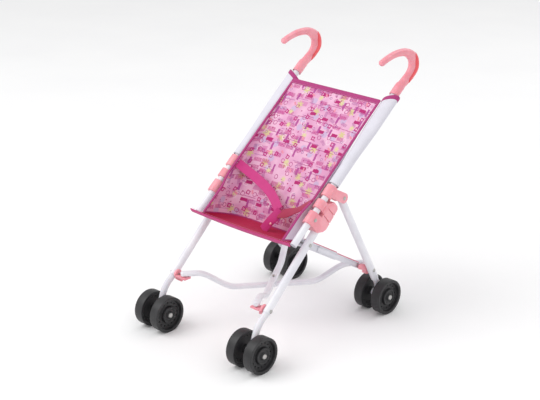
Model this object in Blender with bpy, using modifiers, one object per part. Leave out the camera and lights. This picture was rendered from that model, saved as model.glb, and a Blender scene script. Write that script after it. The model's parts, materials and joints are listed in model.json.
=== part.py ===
"""Doll stroller: two cane-handled side frames, a folding X of two bars, and a fabric sling seat.

X is the width, the front faces -Y, +Z is up, and the origin is on the floor under the middle.
Places in a side frame are given as (t, b): t runs up the handle tube's axis from its lower end,
and b is the distance behind and below that axis.
"""
import math

import bpy
import bmesh
from mathutils import Matrix, Vector

# Stance
HALF_TRACK = 0.132            # centre plane to the plane of each side frame
FRONT_AXLE_Y = -0.220
REAR_AXLE_Y = 0.154
GAP = 0.0003                  # between two pieces that touch

# Wheels and axles
WHEEL_RADIUS = 0.037
WHEEL_WIDTH = 0.021
WHEEL_FACETS = 24
RIM_DEPTH = 0.0065            # radial depth of the tread ring
DISC_RECESS = 0.0085          # how far the disc lies below the rim, each face
HUB_RADIUS = 0.0125
AXLE_RADIUS = 0.0025
AXLE_CAP_RADIUS = 0.0055
AXLE_CAP_LENGTH = 0.002
FOOT_EYE_RADIUS = 0.0078
FOOT_EYE_WIDTH = 0.023        # between the two wheels of a pair

# Handle tube
TUBE_LOW_Y = -0.106
TUBE_LOW_Z = 0.220
TUBE_SLOPE = math.radians(39.15)
HANDLE_TUBE_LENGTH = 0.400
HANDLE_TUBE_RADIUS = 0.007
TUBE_WALL = 0.0009

# Handle grip
COLLAR_DEPTH = 0.024          # bore for the tube's end
TUBE_END_ROOM = 0.001         # from the tube's end to the bore's
COLLAR_AT = HANDLE_TUBE_LENGTH + TUBE_END_ROOM - COLLAR_DEPTH   # t of the collar's lower rim
COLLAR_WALL = 0.0026
COLLAR_RADIUS = HANDLE_TUBE_RADIUS + GAP + COLLAR_WALL
STEM_RADIUS = 0.0086
TIP_RADIUS = 0.0068
PAD_RADIUS = 0.0048
PAD_OFFSET = 0.0055           # pad's centreline outside the grip's centreline
PAD_TAPER = 0.45              # pad's radius at its ends, of its middle's
HANDLE_SCREW_RADIUS = 0.0018
HANDLE_SCREW_BITE = 0.0035    # how far the screw goes past the tube's outer face

# Upper bracket, which carries the rear leg
UPPER_BRACKET_AT = 0.131
BRACKET_RING_LENGTH = 0.026
BRACKET_RING_WALL = 0.0040
BRACKET_RING_RADIUS = HANDLE_TUBE_RADIUS + GAP + BRACKET_RING_WALL
REAR_PIVOT_T = 0.145
REAR_PIVOT_B = 0.036
CHEEK_RADIUS = 0.0105
CHEEK_THICKNESS = 0.0028
LEG_SIDE_ROOM = 0.0005        # between the rear leg and each cheek
BOLT_RADIUS = 0.0020
BOLT_HEAD_RADIUS = 0.0042
BOLT_HEAD_HEIGHT = 0.0016

# Lower bracket, which joins the front leg to the handle tube
LOWER_RING_T = 0.065
LOWER_RING_LENGTH = 0.027
MIDDLE_RING_T = 0.098
MIDDLE_RING_LENGTH = 0.019
LOWER_BRACKET_TOP = 0.122     # t of the socket's upper end
SOCKET_WALL = 0.0032
WINDOW_DEPTH = 0.0045         # between the two rings, from the tube to the socket's block
RIB_GROOVE_DEPTH = 0.0022
RIB_GROOVE_WIDTH = 0.0022

# Legs and feet
LEG_RADIUS = 0.008
FRONT_LEG_TOP_T = 0.117
FRONT_LEG_TOP_B = 0.0257
FRONT_KNEE_BACK = 0.040       # leg's lower end, behind the axle
FRONT_KNEE_RISE = 0.066       # and above it
REAR_KNEE_BACK = -0.0105
REAR_KNEE_RISE = 0.038
REAR_LEG_OVERRUN = 0.009      # leg's top end past its pivot
FOOT_INSERTION = 0.020
FRONT_FOOT_BEND = 0.42        # where each foot bends, of the way down to its axle
REAR_FOOT_BEND = 0.45

# Clips and X bars
FRONT_CLIP_UP = 0.006         # hinge above the leg's lower end
REAR_CLIP_UP = 0.026
CLIP_REACH = 0.030            # bar pin inboard of the leg
CLIP_PLATE = 0.0040
CLIP_TAB = 0.0040
CLIP_RADIUS = 0.0095
CLIP_LUG_BACK = -0.024        # link's pin from the rear clip's hinge
CLIP_LUG_RISE = 0.011
EAR_STEP = 0.0003             # the lug's face below the clip's
BAR_WIDTH = 0.014
BAR_DEPTH = 0.011
BAR_DIP = 0.028               # middle of the pair below the bars' ends
BAR_END_LEVEL = 0.024         # level stretch from each pin
BAR_JOGGLE = 0.082            # length of each slope
BAR_OVERHANG = 0.0077         # past each pin
BAR_PIN_RADIUS = 0.0024
BAR_GAP = 0.0006

# Side links
LINK_FRONT_UP = 0.157         # front pin above the front leg's lower end
LINK_HEIGHT = 0.015
LINK_WIDTH = 0.0095
LINK_WALL = 0.0014
LINK_OUTER_LENGTH = 0.1125    # from the front pin
LINK_OVERLAP = 0.056
LINK_END = 0.006              # inner channel past its pin
LINK_SIDE_GAP = 0.00075       # between the link and the leg

# Seat
TUBE_SHOWING = 0.023          # of the handle tube, between its sleeve and its grip
SLEEVE_LOW_T = 0.150
SLEEVE_HIGH_T = COLLAR_AT - TUBE_SHOWING
SLEEVE_SPARE = 0.0055         # sleeve's width past the tube, each side
SLEEVE_HALF_WIDTH = HANDLE_TUBE_RADIUS + SLEEVE_SPARE
SLEEVE_WALL = 0.0014
PANEL_THICKNESS = 0.0020
PANEL_ROOM = 0.009            # between the sling's edge and the sleeve
BACK_HALF_WIDTH = HALF_TRACK - SLEEVE_HALF_WIDTH - PANEL_ROOM
HEM_T = SLEEVE_HIGH_T - 0.002
HEM_B = -0.0092               # the hem lies in front of the tubes, and the back sags behind them
CHEST_T, CHEST_B = 0.204, 0.010
WAIST_T, WAIST_B = 0.133, 0.030
HIP_T, HIP_B = 0.058, 0.050
SEAT_FRONT_Y = -0.118
SEAT_FRONT_Z = 0.2285
SEAT_CREASE_Y = -0.024
SEAT_CREASE_Z = 0.1985
SEAT_SAG = 0.004              # of the seat between its crease and its front edge
STRAP_WIDTH = 0.020
STRAP_THICKNESS = 0.0018
STRAP_CLEARANCE = 0.0042      # over the seat where the crotch strap starts
CROTCH_STRAP_RISE = 0.030
STRAP_END_GAP = 0.002         # between two straps' ends
WAIST_STRAP_T, WAIST_STRAP_B = 0.141, 0.003

SIDES = (("left", -1), ("right", 1))


def clear_scene():
    for old in list(bpy.data.objects):
        bpy.data.objects.remove(old, do_unlink=True)


def new_collection(name):
    collection = bpy.data.collections.new(name)
    bpy.context.scene.collection.children.link(collection)
    return collection


def finish(name, colour, roughness, metallic=0.0):
    made = bpy.data.materials.new(name)
    made.use_nodes = True
    shader = made.node_tree.nodes["Principled BSDF"]
    shader.inputs["Base Color"].default_value = (*colour, 1.0)
    shader.inputs["Roughness"].default_value = roughness
    shader.inputs["Metallic"].default_value = metallic
    made.diffuse_color = (*colour, 1.0)
    return made


clear_scene()
PARTS = new_collection("doll_stroller")
CUTTERS = new_collection("cutters")
WHITE_PAINT = finish("white painted steel", (0.72, 0.71, 0.74), 0.35, 0.1)
PINK_PLASTIC = finish("pink moulded plastic", (0.85, 0.32, 0.38), 0.4)
CORAL_PLASTIC = finish("coral soft insert", (0.80, 0.08, 0.09), 0.45)
BLACK_PLASTIC = finish("black moulded plastic", (0.02, 0.02, 0.022), 0.5)
ZINC_STEEL = finish("zinc plated steel", (0.45, 0.44, 0.43), 0.35, 1.0)
PRINT_FABRIC = finish("printed seat fabric", (0.75, 0.33, 0.50), 0.9)
WHITE_FABRIC = finish("white sleeve fabric", (0.74, 0.72, 0.78), 0.9)
WEBBING = finish("magenta webbing", (0.62, 0.03, 0.24), 0.85)

UP_TUBE = Vector((0.0, math.cos(TUBE_SLOPE), math.sin(TUBE_SLOPE)))
BEHIND_TUBE = Vector((0.0, math.sin(TUBE_SLOPE), -math.cos(TUBE_SLOPE)))
OUT = Vector((1.0, 0.0, 0.0))


def in_side(t, b):
    """A place in a side frame's plane, as (0, y, z)."""
    return Vector((0.0, TUBE_LOW_Y, TUBE_LOW_Z)) + UP_TUBE * t + BEHIND_TUBE * b


def at_x(place, x):
    return Vector((x, place.y, place.z))


def add_object(name, data, look, collection=PARTS):
    made = bpy.data.objects.new(name, data)
    collection.objects.link(made)
    if look:
        data.materials.append(look)
    return made


def hide_as_cutter(tool):
    for owner in list(tool.users_collection):
        owner.objects.unlink(tool)
    CUTTERS.objects.link(tool)
    tool.hide_render = True
    tool.display_type = "WIRE"


def combine(target, tool, operation="DIFFERENCE"):
    """Cut the tool out of the target, or join it on, and put the tool away."""
    step = target.modifiers.new(tool.name, "BOOLEAN")
    step.operation = operation
    step.object = tool
    hide_as_cutter(tool)


def facing(direction):
    return Vector(direction).to_track_quat("Z", "Y").to_matrix().to_4x4()


def round_bar(name, start, end, radius, look=None, sides=16):
    """A solid cylinder from start to end."""
    start, end = Vector(start), Vector(end)
    mesh = bpy.data.meshes.new(name)
    shape = bmesh.new()
    bmesh.ops.create_cone(shape, cap_ends=True, segments=sides, radius1=radius, radius2=radius,
                          depth=(end - start).length)
    shape.to_mesh(mesh)
    shape.free()
    made = add_object(name, mesh, look)
    made.matrix_world = Matrix.Translation((start + end) / 2) @ facing(end - start)
    return made


def turned(name, profile, place, direction, look, steps=16, closed=True, spin=0.0):
    """A profile of (radius, height) turned about the direction through the place."""
    mesh = bpy.data.meshes.new(name)
    corners = [(radius, 0.0, height) for radius, height in profile]
    edges = [(i, i + 1) for i in range(len(profile) - 1)]
    if closed:
        edges.append((len(profile) - 1, 0))
    mesh.from_pydata(corners, edges, [])
    made = add_object(name, mesh, look)
    screw = made.modifiers.new("turn", "SCREW")
    screw.steps = steps
    screw.render_steps = steps
    screw.use_merge_vertices = True
    screw.merge_threshold = 0.00002
    screw.use_smooth_shade = True
    made.matrix_world = Matrix.Translation(place) @ facing(direction) @ Matrix.Rotation(spin, 4, "Z")
    return made


def tube(name, start, end, radius, wall, look, steps=16):
    """An open tube, turned from its wall's section."""
    length = (end - start).length
    profile = [(radius, length), (radius, 0.0), (radius - wall, 0.0), (radius - wall, length)]
    return turned(name, profile, start, end - start, look, steps)


def smooth_path(points, per_span):
    """Points along a Catmull-Rom curve through the given places."""
    points = [Vector(p) for p in points]
    first = points[0] * 2 - points[1]
    last = points[-1] * 2 - points[-2]
    held = [first] + points + [last]
    path = []
    for i in range(1, len(held) - 2):
        for k in range(per_span):
            u = k / per_span
            p0, p1, p2, p3 = held[i - 1:i + 3]
            path.append(0.5 * (2 * p1 + (p2 - p0) * u + (2 * p0 - 5 * p1 + 4 * p2 - p3) * u ** 2
                               + (3 * p1 - p0 - 3 * p2 + p3) * u ** 3))
    path.append(points[-1])
    return path


def swept(name, path, radii, look, resolution=3, squash=None):
    """A round rod along a path, made a closed mesh. squash gives an oval section's depth ratio."""
    line = bpy.data.curves.new(name, "CURVE")
    line.dimensions = "3D"
    line.bevel_depth = 1.0
    line.bevel_resolution = resolution
    line.use_fill_caps = True
    run = line.splines.new("POLY")
    run.points.add(len(path) - 1)
    for point, place, radius in zip(run.points, path, radii):
        point.co = (*place, 1.0)
        point.radius = radius
    drawn = bpy.data.objects.new(f"{name}_path", line)
    PARTS.objects.link(drawn)
    bpy.context.view_layer.update()
    seen = drawn.evaluated_get(bpy.context.evaluated_depsgraph_get())
    mesh = bpy.data.meshes.new_from_object(seen)
    bpy.data.objects.remove(drawn, do_unlink=True)
    bpy.data.curves.remove(line)
    shape = bmesh.new()
    shape.from_mesh(mesh)
    bmesh.ops.remove_doubles(shape, verts=shape.verts, dist=0.00002)
    if squash:
        flatten_section(shape, path, squash)
    bmesh.ops.recalc_face_normals(shape, faces=shape.faces)
    shape.to_mesh(mesh)
    shape.free()
    return add_object(name, mesh, look)


def flatten_section(shape, path, ratio):
    """Press each ring of a swept rod flat towards its path, in Z only."""
    for vert in shape.verts:
        near = min(path, key=lambda p: (p.xy - vert.co.xy).length)
        vert.co.z = near.z + (vert.co.z - near.z) * ratio


def plate(name, outline, x_low, x_high, look=None):
    """A flat outline of (y, z) places, as thick as from x_low to x_high."""
    flat = bpy.data.curves.new(name, "CURVE")
    flat.dimensions = "2D"
    flat.fill_mode = "BOTH"
    flat.extrude = (x_high - x_low) / 2
    edge = flat.splines.new("POLY")
    edge.points.add(len(outline) - 1)
    for point, place in zip(edge.points, outline):
        point.co = (place[0], place[1], 0.0, 1.0)
    edge.use_cyclic_u = True
    drawn = bpy.data.objects.new(f"{name}_outline", flat)
    PARTS.objects.link(drawn)
    drawn.matrix_world = (Matrix.Translation(((x_low + x_high) / 2, 0.0, 0.0))
                          @ Matrix(((0, 0, 1, 0), (1, 0, 0, 0), (0, 1, 0, 0), (0, 0, 0, 1))))
    bpy.context.view_layer.update()
    seen = drawn.evaluated_get(bpy.context.evaluated_depsgraph_get())
    mesh = bpy.data.meshes.new_from_object(seen)
    shape = bmesh.new()
    shape.from_mesh(mesh)
    bmesh.ops.remove_doubles(shape, verts=shape.verts, dist=0.00001)
    bmesh.ops.recalc_face_normals(shape, faces=shape.faces)
    shape.to_mesh(mesh)
    shape.free()
    made = add_object(name, mesh, look)
    made.matrix_world = drawn.matrix_world.copy()
    bpy.data.objects.remove(drawn, do_unlink=True)
    bpy.data.curves.remove(flat)
    return made


def arc(centre, radius, start, end, steps):
    """(y, z) places round a centre, with angles in degrees from +Y towards +Z."""
    turn = [math.radians(start + (end - start) * i / steps) for i in range(steps + 1)]
    return [(centre[0] + radius * math.cos(a), centre[1] + radius * math.sin(a)) for a in turn]


def stadium(start, end, start_radius, end_radius, steps=6):
    """The outline round two circles in the side plane."""
    along = math.degrees(math.atan2(end[1] - start[1], end[0] - start[0]))
    near = arc(start, start_radius, along + 90, along + 270, steps)
    far = arc(end, end_radius, along - 90, along + 90, steps)
    return near + far


def yz(place):
    return (place.y, place.z)


def bolt(name, head_at, direction, length, look=ZINC_STEEL, radius=BOLT_RADIUS):
    """A domed head at head_at, with its shank running back along the direction."""
    profile = [(0.0, BOLT_HEAD_HEIGHT), (BOLT_HEAD_RADIUS * 0.7, BOLT_HEAD_HEIGHT * 0.8),
               (BOLT_HEAD_RADIUS, 0.0), (radius, 0.0), (radius, -length), (0.0, -length)]
    return turned(name, profile, head_at, direction, look, steps=12, closed=False)


# Where the legs and their joints lie in the side plane
FRONT_AXLE = Vector((0.0, FRONT_AXLE_Y, WHEEL_RADIUS))
REAR_AXLE = Vector((0.0, REAR_AXLE_Y, WHEEL_RADIUS))
REAR_PIVOT = in_side(REAR_PIVOT_T, REAR_PIVOT_B)
FRONT_LEG_TOP = in_side(FRONT_LEG_TOP_T, FRONT_LEG_TOP_B)
FRONT_KNEE = FRONT_AXLE + Vector((0.0, FRONT_KNEE_BACK, FRONT_KNEE_RISE))
REAR_KNEE = REAR_AXLE + Vector((0.0, REAR_KNEE_BACK, REAR_KNEE_RISE))
UP_FRONT_LEG = (FRONT_LEG_TOP - FRONT_KNEE).normalized()
UP_REAR_LEG = (REAR_PIVOT - REAR_KNEE).normalized()
FRONT_CLIP = FRONT_KNEE + UP_FRONT_LEG * FRONT_CLIP_UP
REAR_CLIP = REAR_KNEE + UP_REAR_LEG * REAR_CLIP_UP
LINK_FRONT = FRONT_KNEE + UP_FRONT_LEG * LINK_FRONT_UP
LINK_REAR = REAR_CLIP + Vector((0.0, CLIP_LUG_BACK, CLIP_LUG_RISE))
LINK_INBOARD = LEG_RADIUS + LINK_SIDE_GAP + LINK_WIDTH / 2   # link's middle plane from the leg's
PIN_X = HALF_TRACK - CLIP_REACH
LEG_BORE = LEG_RADIUS - TUBE_WALL
FOOT_RADIUS = LEG_BORE - GAP
BAR_OVER_TAB = BAR_GAP + BAR_DEPTH / 2   # bar's axis above its tab's top
SEAT_CREASE = Vector((0.0, SEAT_CREASE_Y, SEAT_CREASE_Z))
SEAT_FRONT = Vector((0.0, SEAT_FRONT_Y, SEAT_FRONT_Z))


def make_handle(side, sign):
    x = sign * HALF_TRACK
    rod = tube(f"handle_tube_{side}", at_x(in_side(0.0, 0.0), x),
               at_x(in_side(HANDLE_TUBE_LENGTH, 0.0), x), HANDLE_TUBE_RADIUS, TUBE_WALL, WHITE_PAINT)
    combine(rod, round_bar(f"lower_bolt_hole_{side}", at_x(in_side(LOWER_RING_T, 0), x - 0.02),
                           at_x(in_side(LOWER_RING_T, 0), x + 0.02), BOLT_RADIUS + GAP, sides=12))

    # Along the tube's axis from the collar's rim, behind that axis, and the grip's radius there
    stem = [(0.0, 0.0, COLLAR_RADIUS), (0.012, 0.0, COLLAR_RADIUS), (0.0245, 0.0003, COLLAR_RADIUS),
            (0.030, 0.0014, STEM_RADIUS), (0.044, 0.0036, STEM_RADIUS), (0.0607, 0.0050, STEM_RADIUS)]
    hook = [(0.0780, 0.0005, 0.0088), (0.0868, -0.0170, 0.0086), (0.0787, -0.0420, 0.0080),
            (0.0565, -0.0632, 0.0074), (0.0325, -0.0764, TIP_RADIUS), (0.0160, -0.0826, TIP_RADIUS)]
    marks = [Vector((t, b, r)) for t, b, r in stem + hook]
    fine = smooth_path(marks, 3)
    path = [at_x(in_side(COLLAR_AT + m.x, m.y), x) for m in fine]
    grip = swept(f"handle_grip_{side}", path, [m.z for m in fine], PINK_PLASTIC)
    combine(grip, round_bar(f"tube_bore_{side}", at_x(in_side(COLLAR_AT - 0.01, 0), x),
                            at_x(in_side(COLLAR_AT + COLLAR_DEPTH, 0), x),
                            HANDLE_TUBE_RADIUS + GAP, sides=16))

    screw_t = COLLAR_AT + COLLAR_DEPTH * 0.5
    seat_b = COLLAR_RADIUS + GAP
    hole = round_bar(f"screw_hole_{side}", at_x(in_side(screw_t, 0.0), x),
                     at_x(in_side(screw_t, 0.02), x), HANDLE_SCREW_RADIUS + GAP, sides=10)
    combine(grip, hole)
    second = round_bar(f"screw_hole_tube_{side}", at_x(in_side(screw_t, 0.0), x),
                       at_x(in_side(screw_t, 0.02), x), HANDLE_SCREW_RADIUS + GAP, sides=10)
    combine(rod, second)
    bolt(f"handle_screw_{side}", at_x(in_side(screw_t, seat_b), x), BEHIND_TUBE,
         seat_b - HANDLE_TUBE_RADIUS + HANDLE_SCREW_BITE, radius=HANDLE_SCREW_RADIUS)

    arcs = [Vector(m) for m in fine if 0.050 < m.x and m.y > -0.040]
    pad_path = []
    for i, mark in enumerate(arcs):
        before = arcs[max(i - 1, 0)]
        after = arcs[min(i + 1, len(arcs) - 1)]
        run = Vector((after.x - before.x, after.y - before.y)).normalized()
        outward = Vector((run.y * -1, run.x))
        pad_path.append(Vector((mark.x, mark.y)) + outward * PAD_OFFSET)
    count = len(pad_path) - 1
    swell = [PAD_RADIUS * (PAD_TAPER + (1 - PAD_TAPER) * math.sin(math.pi * i / count))
             for i in range(count + 1)]
    places = [at_x(in_side(COLLAR_AT + p.x, p.y), x) for p in pad_path]
    swept(f"handle_grip_pad_{side}", places, swell, CORAL_PLASTIC, resolution=2)
    combine(grip, swept(f"pad_recess_{side}", places, [r + GAP for r in swell], None, resolution=2))


def make_brackets(side, sign):
    x = sign * HALF_TRACK
    room = LEG_RADIUS + LEG_SIDE_ROOM
    half = room + CHEEK_THICKNESS
    ring_ends = [at_x(in_side(UPPER_BRACKET_AT + k * BRACKET_RING_LENGTH / 2, 0), x) for k in (-1, 1)]
    upper = plate(f"upper_bracket_{side}",
                  stadium(yz(in_side(UPPER_BRACKET_AT + 0.002, 0.004)), yz(REAR_PIVOT), 0.0095,
                          CHEEK_RADIUS), x - half, x + half, PINK_PLASTIC)
    combine(upper, round_bar(f"upper_ring_{side}", *ring_ends, BRACKET_RING_RADIUS, sides=20), "UNION")
    slot_b = BRACKET_RING_RADIUS + 0.0015
    slot = [yz(in_side(UPPER_BRACKET_AT - 0.05, slot_b)), yz(in_side(REAR_PIVOT_T + 0.05, slot_b)),
            yz(in_side(REAR_PIVOT_T + 0.05, REAR_PIVOT_B + 0.03)),
            yz(in_side(UPPER_BRACKET_AT - 0.05, REAR_PIVOT_B + 0.03))]
    combine(upper, plate(f"leg_slot_{side}", slot, x - room, x + room))
    combine(upper, round_bar(f"upper_tube_bore_{side}", at_x(in_side(UPPER_BRACKET_AT - 0.04, 0), x),
                             at_x(in_side(UPPER_BRACKET_AT + 0.04, 0), x),
                             HANDLE_TUBE_RADIUS + GAP, sides=16))
    combine(upper, round_bar(f"upper_pivot_hole_{side}", at_x(REAR_PIVOT, x - 0.02),
                             at_x(REAR_PIVOT, x + 0.02), BOLT_RADIUS + GAP, sides=12))
    bolt(f"rear_leg_pivot_bolt_{side}", at_x(REAR_PIVOT, x + sign * (half + GAP)), OUT * sign,
         2 * half + 2 * GAP + 0.001)

    outer = max(LEG_RADIUS, HANDLE_TUBE_RADIUS) + GAP + SOCKET_WALL
    leg_b = FRONT_LEG_TOP_B
    leg_lean = -UP_FRONT_LEG.dot(BEHIND_TUBE) / UP_FRONT_LEG.dot(UP_TUBE)
    low_leg_b = leg_b + (LOWER_BRACKET_TOP - LOWER_RING_T) * leg_lean
    window_b = HANDLE_TUBE_RADIUS + WINDOW_DEPTH
    outline = [yz(in_side(LOWER_RING_T - 0.0135, 0.0)),
               yz(in_side(LOWER_RING_T - 0.0125, low_leg_b - 0.004)),
               yz(in_side(LOWER_RING_T - 0.002, low_leg_b + outer - 0.004)),
               yz(in_side(LOWER_RING_T + 0.006, low_leg_b + outer)),
               yz(in_side(LOWER_BRACKET_TOP - 0.022, leg_b + outer + 0.002)),
               yz(in_side(LOWER_BRACKET_TOP - 0.004, leg_b + outer)),
               yz(in_side(LOWER_BRACKET_TOP, leg_b + outer - 0.006)),
               yz(in_side(LOWER_BRACKET_TOP, leg_b - outer + 0.004)),
               yz(in_side(MIDDLE_RING_T + MIDDLE_RING_LENGTH / 2, 0.004)),
               yz(in_side(MIDDLE_RING_T - MIDDLE_RING_LENGTH / 2, 0.004)),
               yz(in_side(MIDDLE_RING_T - MIDDLE_RING_LENGTH / 2 - 0.001, window_b)),
               yz(in_side(LOWER_RING_T + LOWER_RING_LENGTH / 2 + 0.001, window_b)),
               yz(in_side(LOWER_RING_T + LOWER_RING_LENGTH / 2, 0.0))]
    lower = plate(f"lower_bracket_{side}", outline, x - outer, x + outer, PINK_PLASTIC)
    for label, t, length in (("lower_ring", LOWER_RING_T, LOWER_RING_LENGTH),
                             ("middle_ring", MIDDLE_RING_T, MIDDLE_RING_LENGTH)):
        combine(lower, round_bar(f"{label}_{side}", at_x(in_side(t - length / 2, 0), x),
                                 at_x(in_side(t + length / 2, 0), x), outer, sides=20), "UNION")
    for i, t in enumerate((LOWER_RING_T + 0.020, LOWER_RING_T + 0.037)):
        for face in (-1, 1):
            edge = x + face * outer
            groove = [yz(in_side(t, 0.013)), yz(in_side(t + RIB_GROOVE_WIDTH, 0.013)),
                      yz(in_side(t + RIB_GROOVE_WIDTH, 0.06)), yz(in_side(t, 0.06))]
            combine(lower, plate(f"rib_groove_{side}_{i}_{face}", groove,
                                 edge - RIB_GROOVE_DEPTH, edge + RIB_GROOVE_DEPTH))
    combine(lower, round_bar(f"lower_tube_bore_{side}", at_x(in_side(LOWER_RING_T - 0.03, 0), x),
                             at_x(in_side(LOWER_BRACKET_TOP + 0.02, 0), x),
                             HANDLE_TUBE_RADIUS + GAP, sides=16))
    combine(lower, round_bar(f"leg_socket_{side}", at_x(FRONT_LEG_TOP + UP_FRONT_LEG * GAP, x),
                             at_x(FRONT_LEG_TOP - UP_FRONT_LEG * 0.09, x), LEG_RADIUS + GAP, sides=16))
    pin_t = in_side(LOWER_RING_T, 0)
    combine(lower, round_bar(f"lower_bracket_hole_{side}", at_x(pin_t, x - 0.02), at_x(pin_t, x + 0.02),
                             BOLT_RADIUS + GAP, sides=12))
    bolt(f"lower_bracket_bolt_{side}", at_x(pin_t, x + sign * (outer + GAP)), OUT * sign,
         2 * outer + 2 * GAP)


def make_foot(name, knee, up_leg, axle, x, bend_share):
    """A foot that plugs into a leg, bends and ends in an eye for the axle."""
    inside = knee + up_leg * FOOT_INSERTION
    bend = knee - up_leg * (knee - axle).length * bend_share
    path = smooth_path([inside, knee + up_leg * 0.002, bend, axle], 5)
    places = [at_x(p, x) for p in path]
    foot = swept(name, places, [FOOT_RADIUS] * len(places), WHITE_PAINT)
    combine(foot, round_bar(f"{name}_eye", at_x(axle, x - FOOT_EYE_WIDTH / 2),
                            at_x(axle, x + FOOT_EYE_WIDTH / 2), FOOT_EYE_RADIUS, sides=16), "UNION")
    combine(foot, round_bar(f"{name}_axle_bore", at_x(axle, x - 0.03), at_x(axle, x + 0.03),
                            AXLE_RADIUS + GAP, sides=12))
    return foot


def make_legs(side, sign):
    x = sign * HALF_TRACK
    front = tube(f"front_leg_{side}", at_x(FRONT_KNEE, x), at_x(FRONT_LEG_TOP, x), LEG_RADIUS,
                 TUBE_WALL, WHITE_PAINT)
    rear_top = REAR_PIVOT + UP_REAR_LEG * REAR_LEG_OVERRUN
    rear = tube(f"rear_leg_{side}", at_x(REAR_KNEE, x), at_x(rear_top, x), LEG_RADIUS, TUBE_WALL,
                WHITE_PAINT)
    front_foot = make_foot(f"front_foot_{side}", FRONT_KNEE, UP_FRONT_LEG, FRONT_AXLE, x,
                           FRONT_FOOT_BEND)
    make_foot(f"rear_foot_{side}", REAR_KNEE, UP_REAR_LEG, REAR_AXLE, x, REAR_FOOT_BEND)
    drilled = ((front, "front", FRONT_CLIP), (front_foot, "front_in", FRONT_CLIP),
               (front, "link", LINK_FRONT), (rear, "pivot", REAR_PIVOT), (rear, "rear", REAR_CLIP))
    for piece, label, place in drilled:
        combine(piece, round_bar(f"{label}_hole_{side}", at_x(place, x - 0.02), at_x(place, x + 0.02),
                                 BOLT_RADIUS + GAP, sides=12))


def make_axle_and_wheels(end, axle, side, sign):
    x = sign * HALF_TRACK
    wheel_in = FOOT_EYE_WIDTH / 2 + 3 * GAP
    wheel_out = wheel_in + WHEEL_WIDTH
    cap = wheel_out + GAP
    shaft = [(0.0, cap + AXLE_CAP_LENGTH), (AXLE_CAP_RADIUS * 0.8, cap + AXLE_CAP_LENGTH),
             (AXLE_CAP_RADIUS, cap), (AXLE_RADIUS, cap), (AXLE_RADIUS, -cap), (AXLE_CAP_RADIUS, -cap),
             (AXLE_CAP_RADIUS * 0.8, -cap - AXLE_CAP_LENGTH), (0.0, -cap - AXLE_CAP_LENGTH)]
    turned(f"{end}_axle_{side}", shaft, at_x(axle, x), OUT, ZINC_STEEL, steps=12, closed=False)
    rim = WHEEL_RADIUS / math.cos(math.pi / WHEEL_FACETS)
    low, high = 0.0, WHEEL_WIDTH
    bore = AXLE_RADIUS + GAP
    section = [(rim, high - 0.0015), (rim, low + 0.0015), (rim - 0.002, low), (rim - RIM_DEPTH, low),
               (rim - RIM_DEPTH - 0.001, low + DISC_RECESS), (HUB_RADIUS + 0.001, low + DISC_RECESS),
               (HUB_RADIUS, low), (bore, low), (bore, high), (HUB_RADIUS, high),
               (HUB_RADIUS + 0.001, high - DISC_RECESS), (rim - RIM_DEPTH - 0.001, high - DISC_RECESS),
               (rim - RIM_DEPTH, high), (rim - 0.002, high)]
    for label, face in (("outer", sign), ("inner", -sign)):
        turned(f"{end}_wheel_{label}_{side}", section, at_x(axle, x + face * wheel_in), OUT * face,
               BLACK_PLASTIC, steps=WHEEL_FACETS, spin=math.pi / WHEEL_FACETS)


def make_clip(name, hinge, side, sign, lug=None):
    """A pink clip bolted to a leg's inner face, with a level tab for the end of an X bar."""
    x = sign * HALF_TRACK
    face = x - sign * (LEG_RADIUS + GAP)
    back = face - sign * CLIP_PLATE
    tab_end = sign * (PIN_X - CLIP_RADIUS)
    outline = stadium(yz(hinge), (hinge.y, hinge.z - 0.006), CLIP_RADIUS, CLIP_RADIUS * 0.7)
    clip = plate(f"{name}_{side}", outline, min(face, back), max(face, back), PINK_PLASTIC)
    tab_low, tab_high = hinge.z - CLIP_TAB, hinge.z
    half = CLIP_RADIUS - 0.001
    tab = [(hinge.y - half, tab_low), (hinge.y + half, tab_low), (hinge.y + half, tab_high),
           (hinge.y - half, tab_high)]
    combine(clip, plate(f"{name}_tab_{side}", tab, min(tab_end, back + sign * 0.002),
                        max(tab_end, back + sign * 0.002)), "UNION")
    fin = [(hinge.y - 0.0018, tab_high - 0.001), (hinge.y + 0.0018, tab_high - 0.001),
           (hinge.y + 0.0018, hinge.z - 0.013), (hinge.y - 0.0018, hinge.z - 0.013)]
    fin_end = back - sign * 0.010
    combine(clip, plate(f"{name}_fin_{side}", fin, min(fin_end, back + sign * 0.002),
                        max(fin_end, back + sign * 0.002)), "UNION")
    if lug:
        ear = stadium(yz(hinge), yz(lug), 0.006, 0.0062)
        ear_high = face - sign * EAR_STEP
        ear_low = sign * (HALF_TRACK - LINK_INBOARD + LINK_WIDTH / 2 - LINK_WALL)
        combine(clip, plate(f"{name}_ear_{side}", ear, min(ear_high, ear_low), max(ear_high, ear_low)),
                "UNION")
    combine(clip, round_bar(f"{name}_hole_{side}", at_x(hinge, x), at_x(hinge, x - sign * 0.02),
                            BOLT_RADIUS + GAP, sides=12))
    shank = 2 * LEG_RADIUS + 3 * GAP + CLIP_PLATE + 0.001
    bolt(f"{name}_bolt_{side}", at_x(hinge, x + sign * (LEG_RADIUS + GAP)), OUT * sign, shank)


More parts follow.
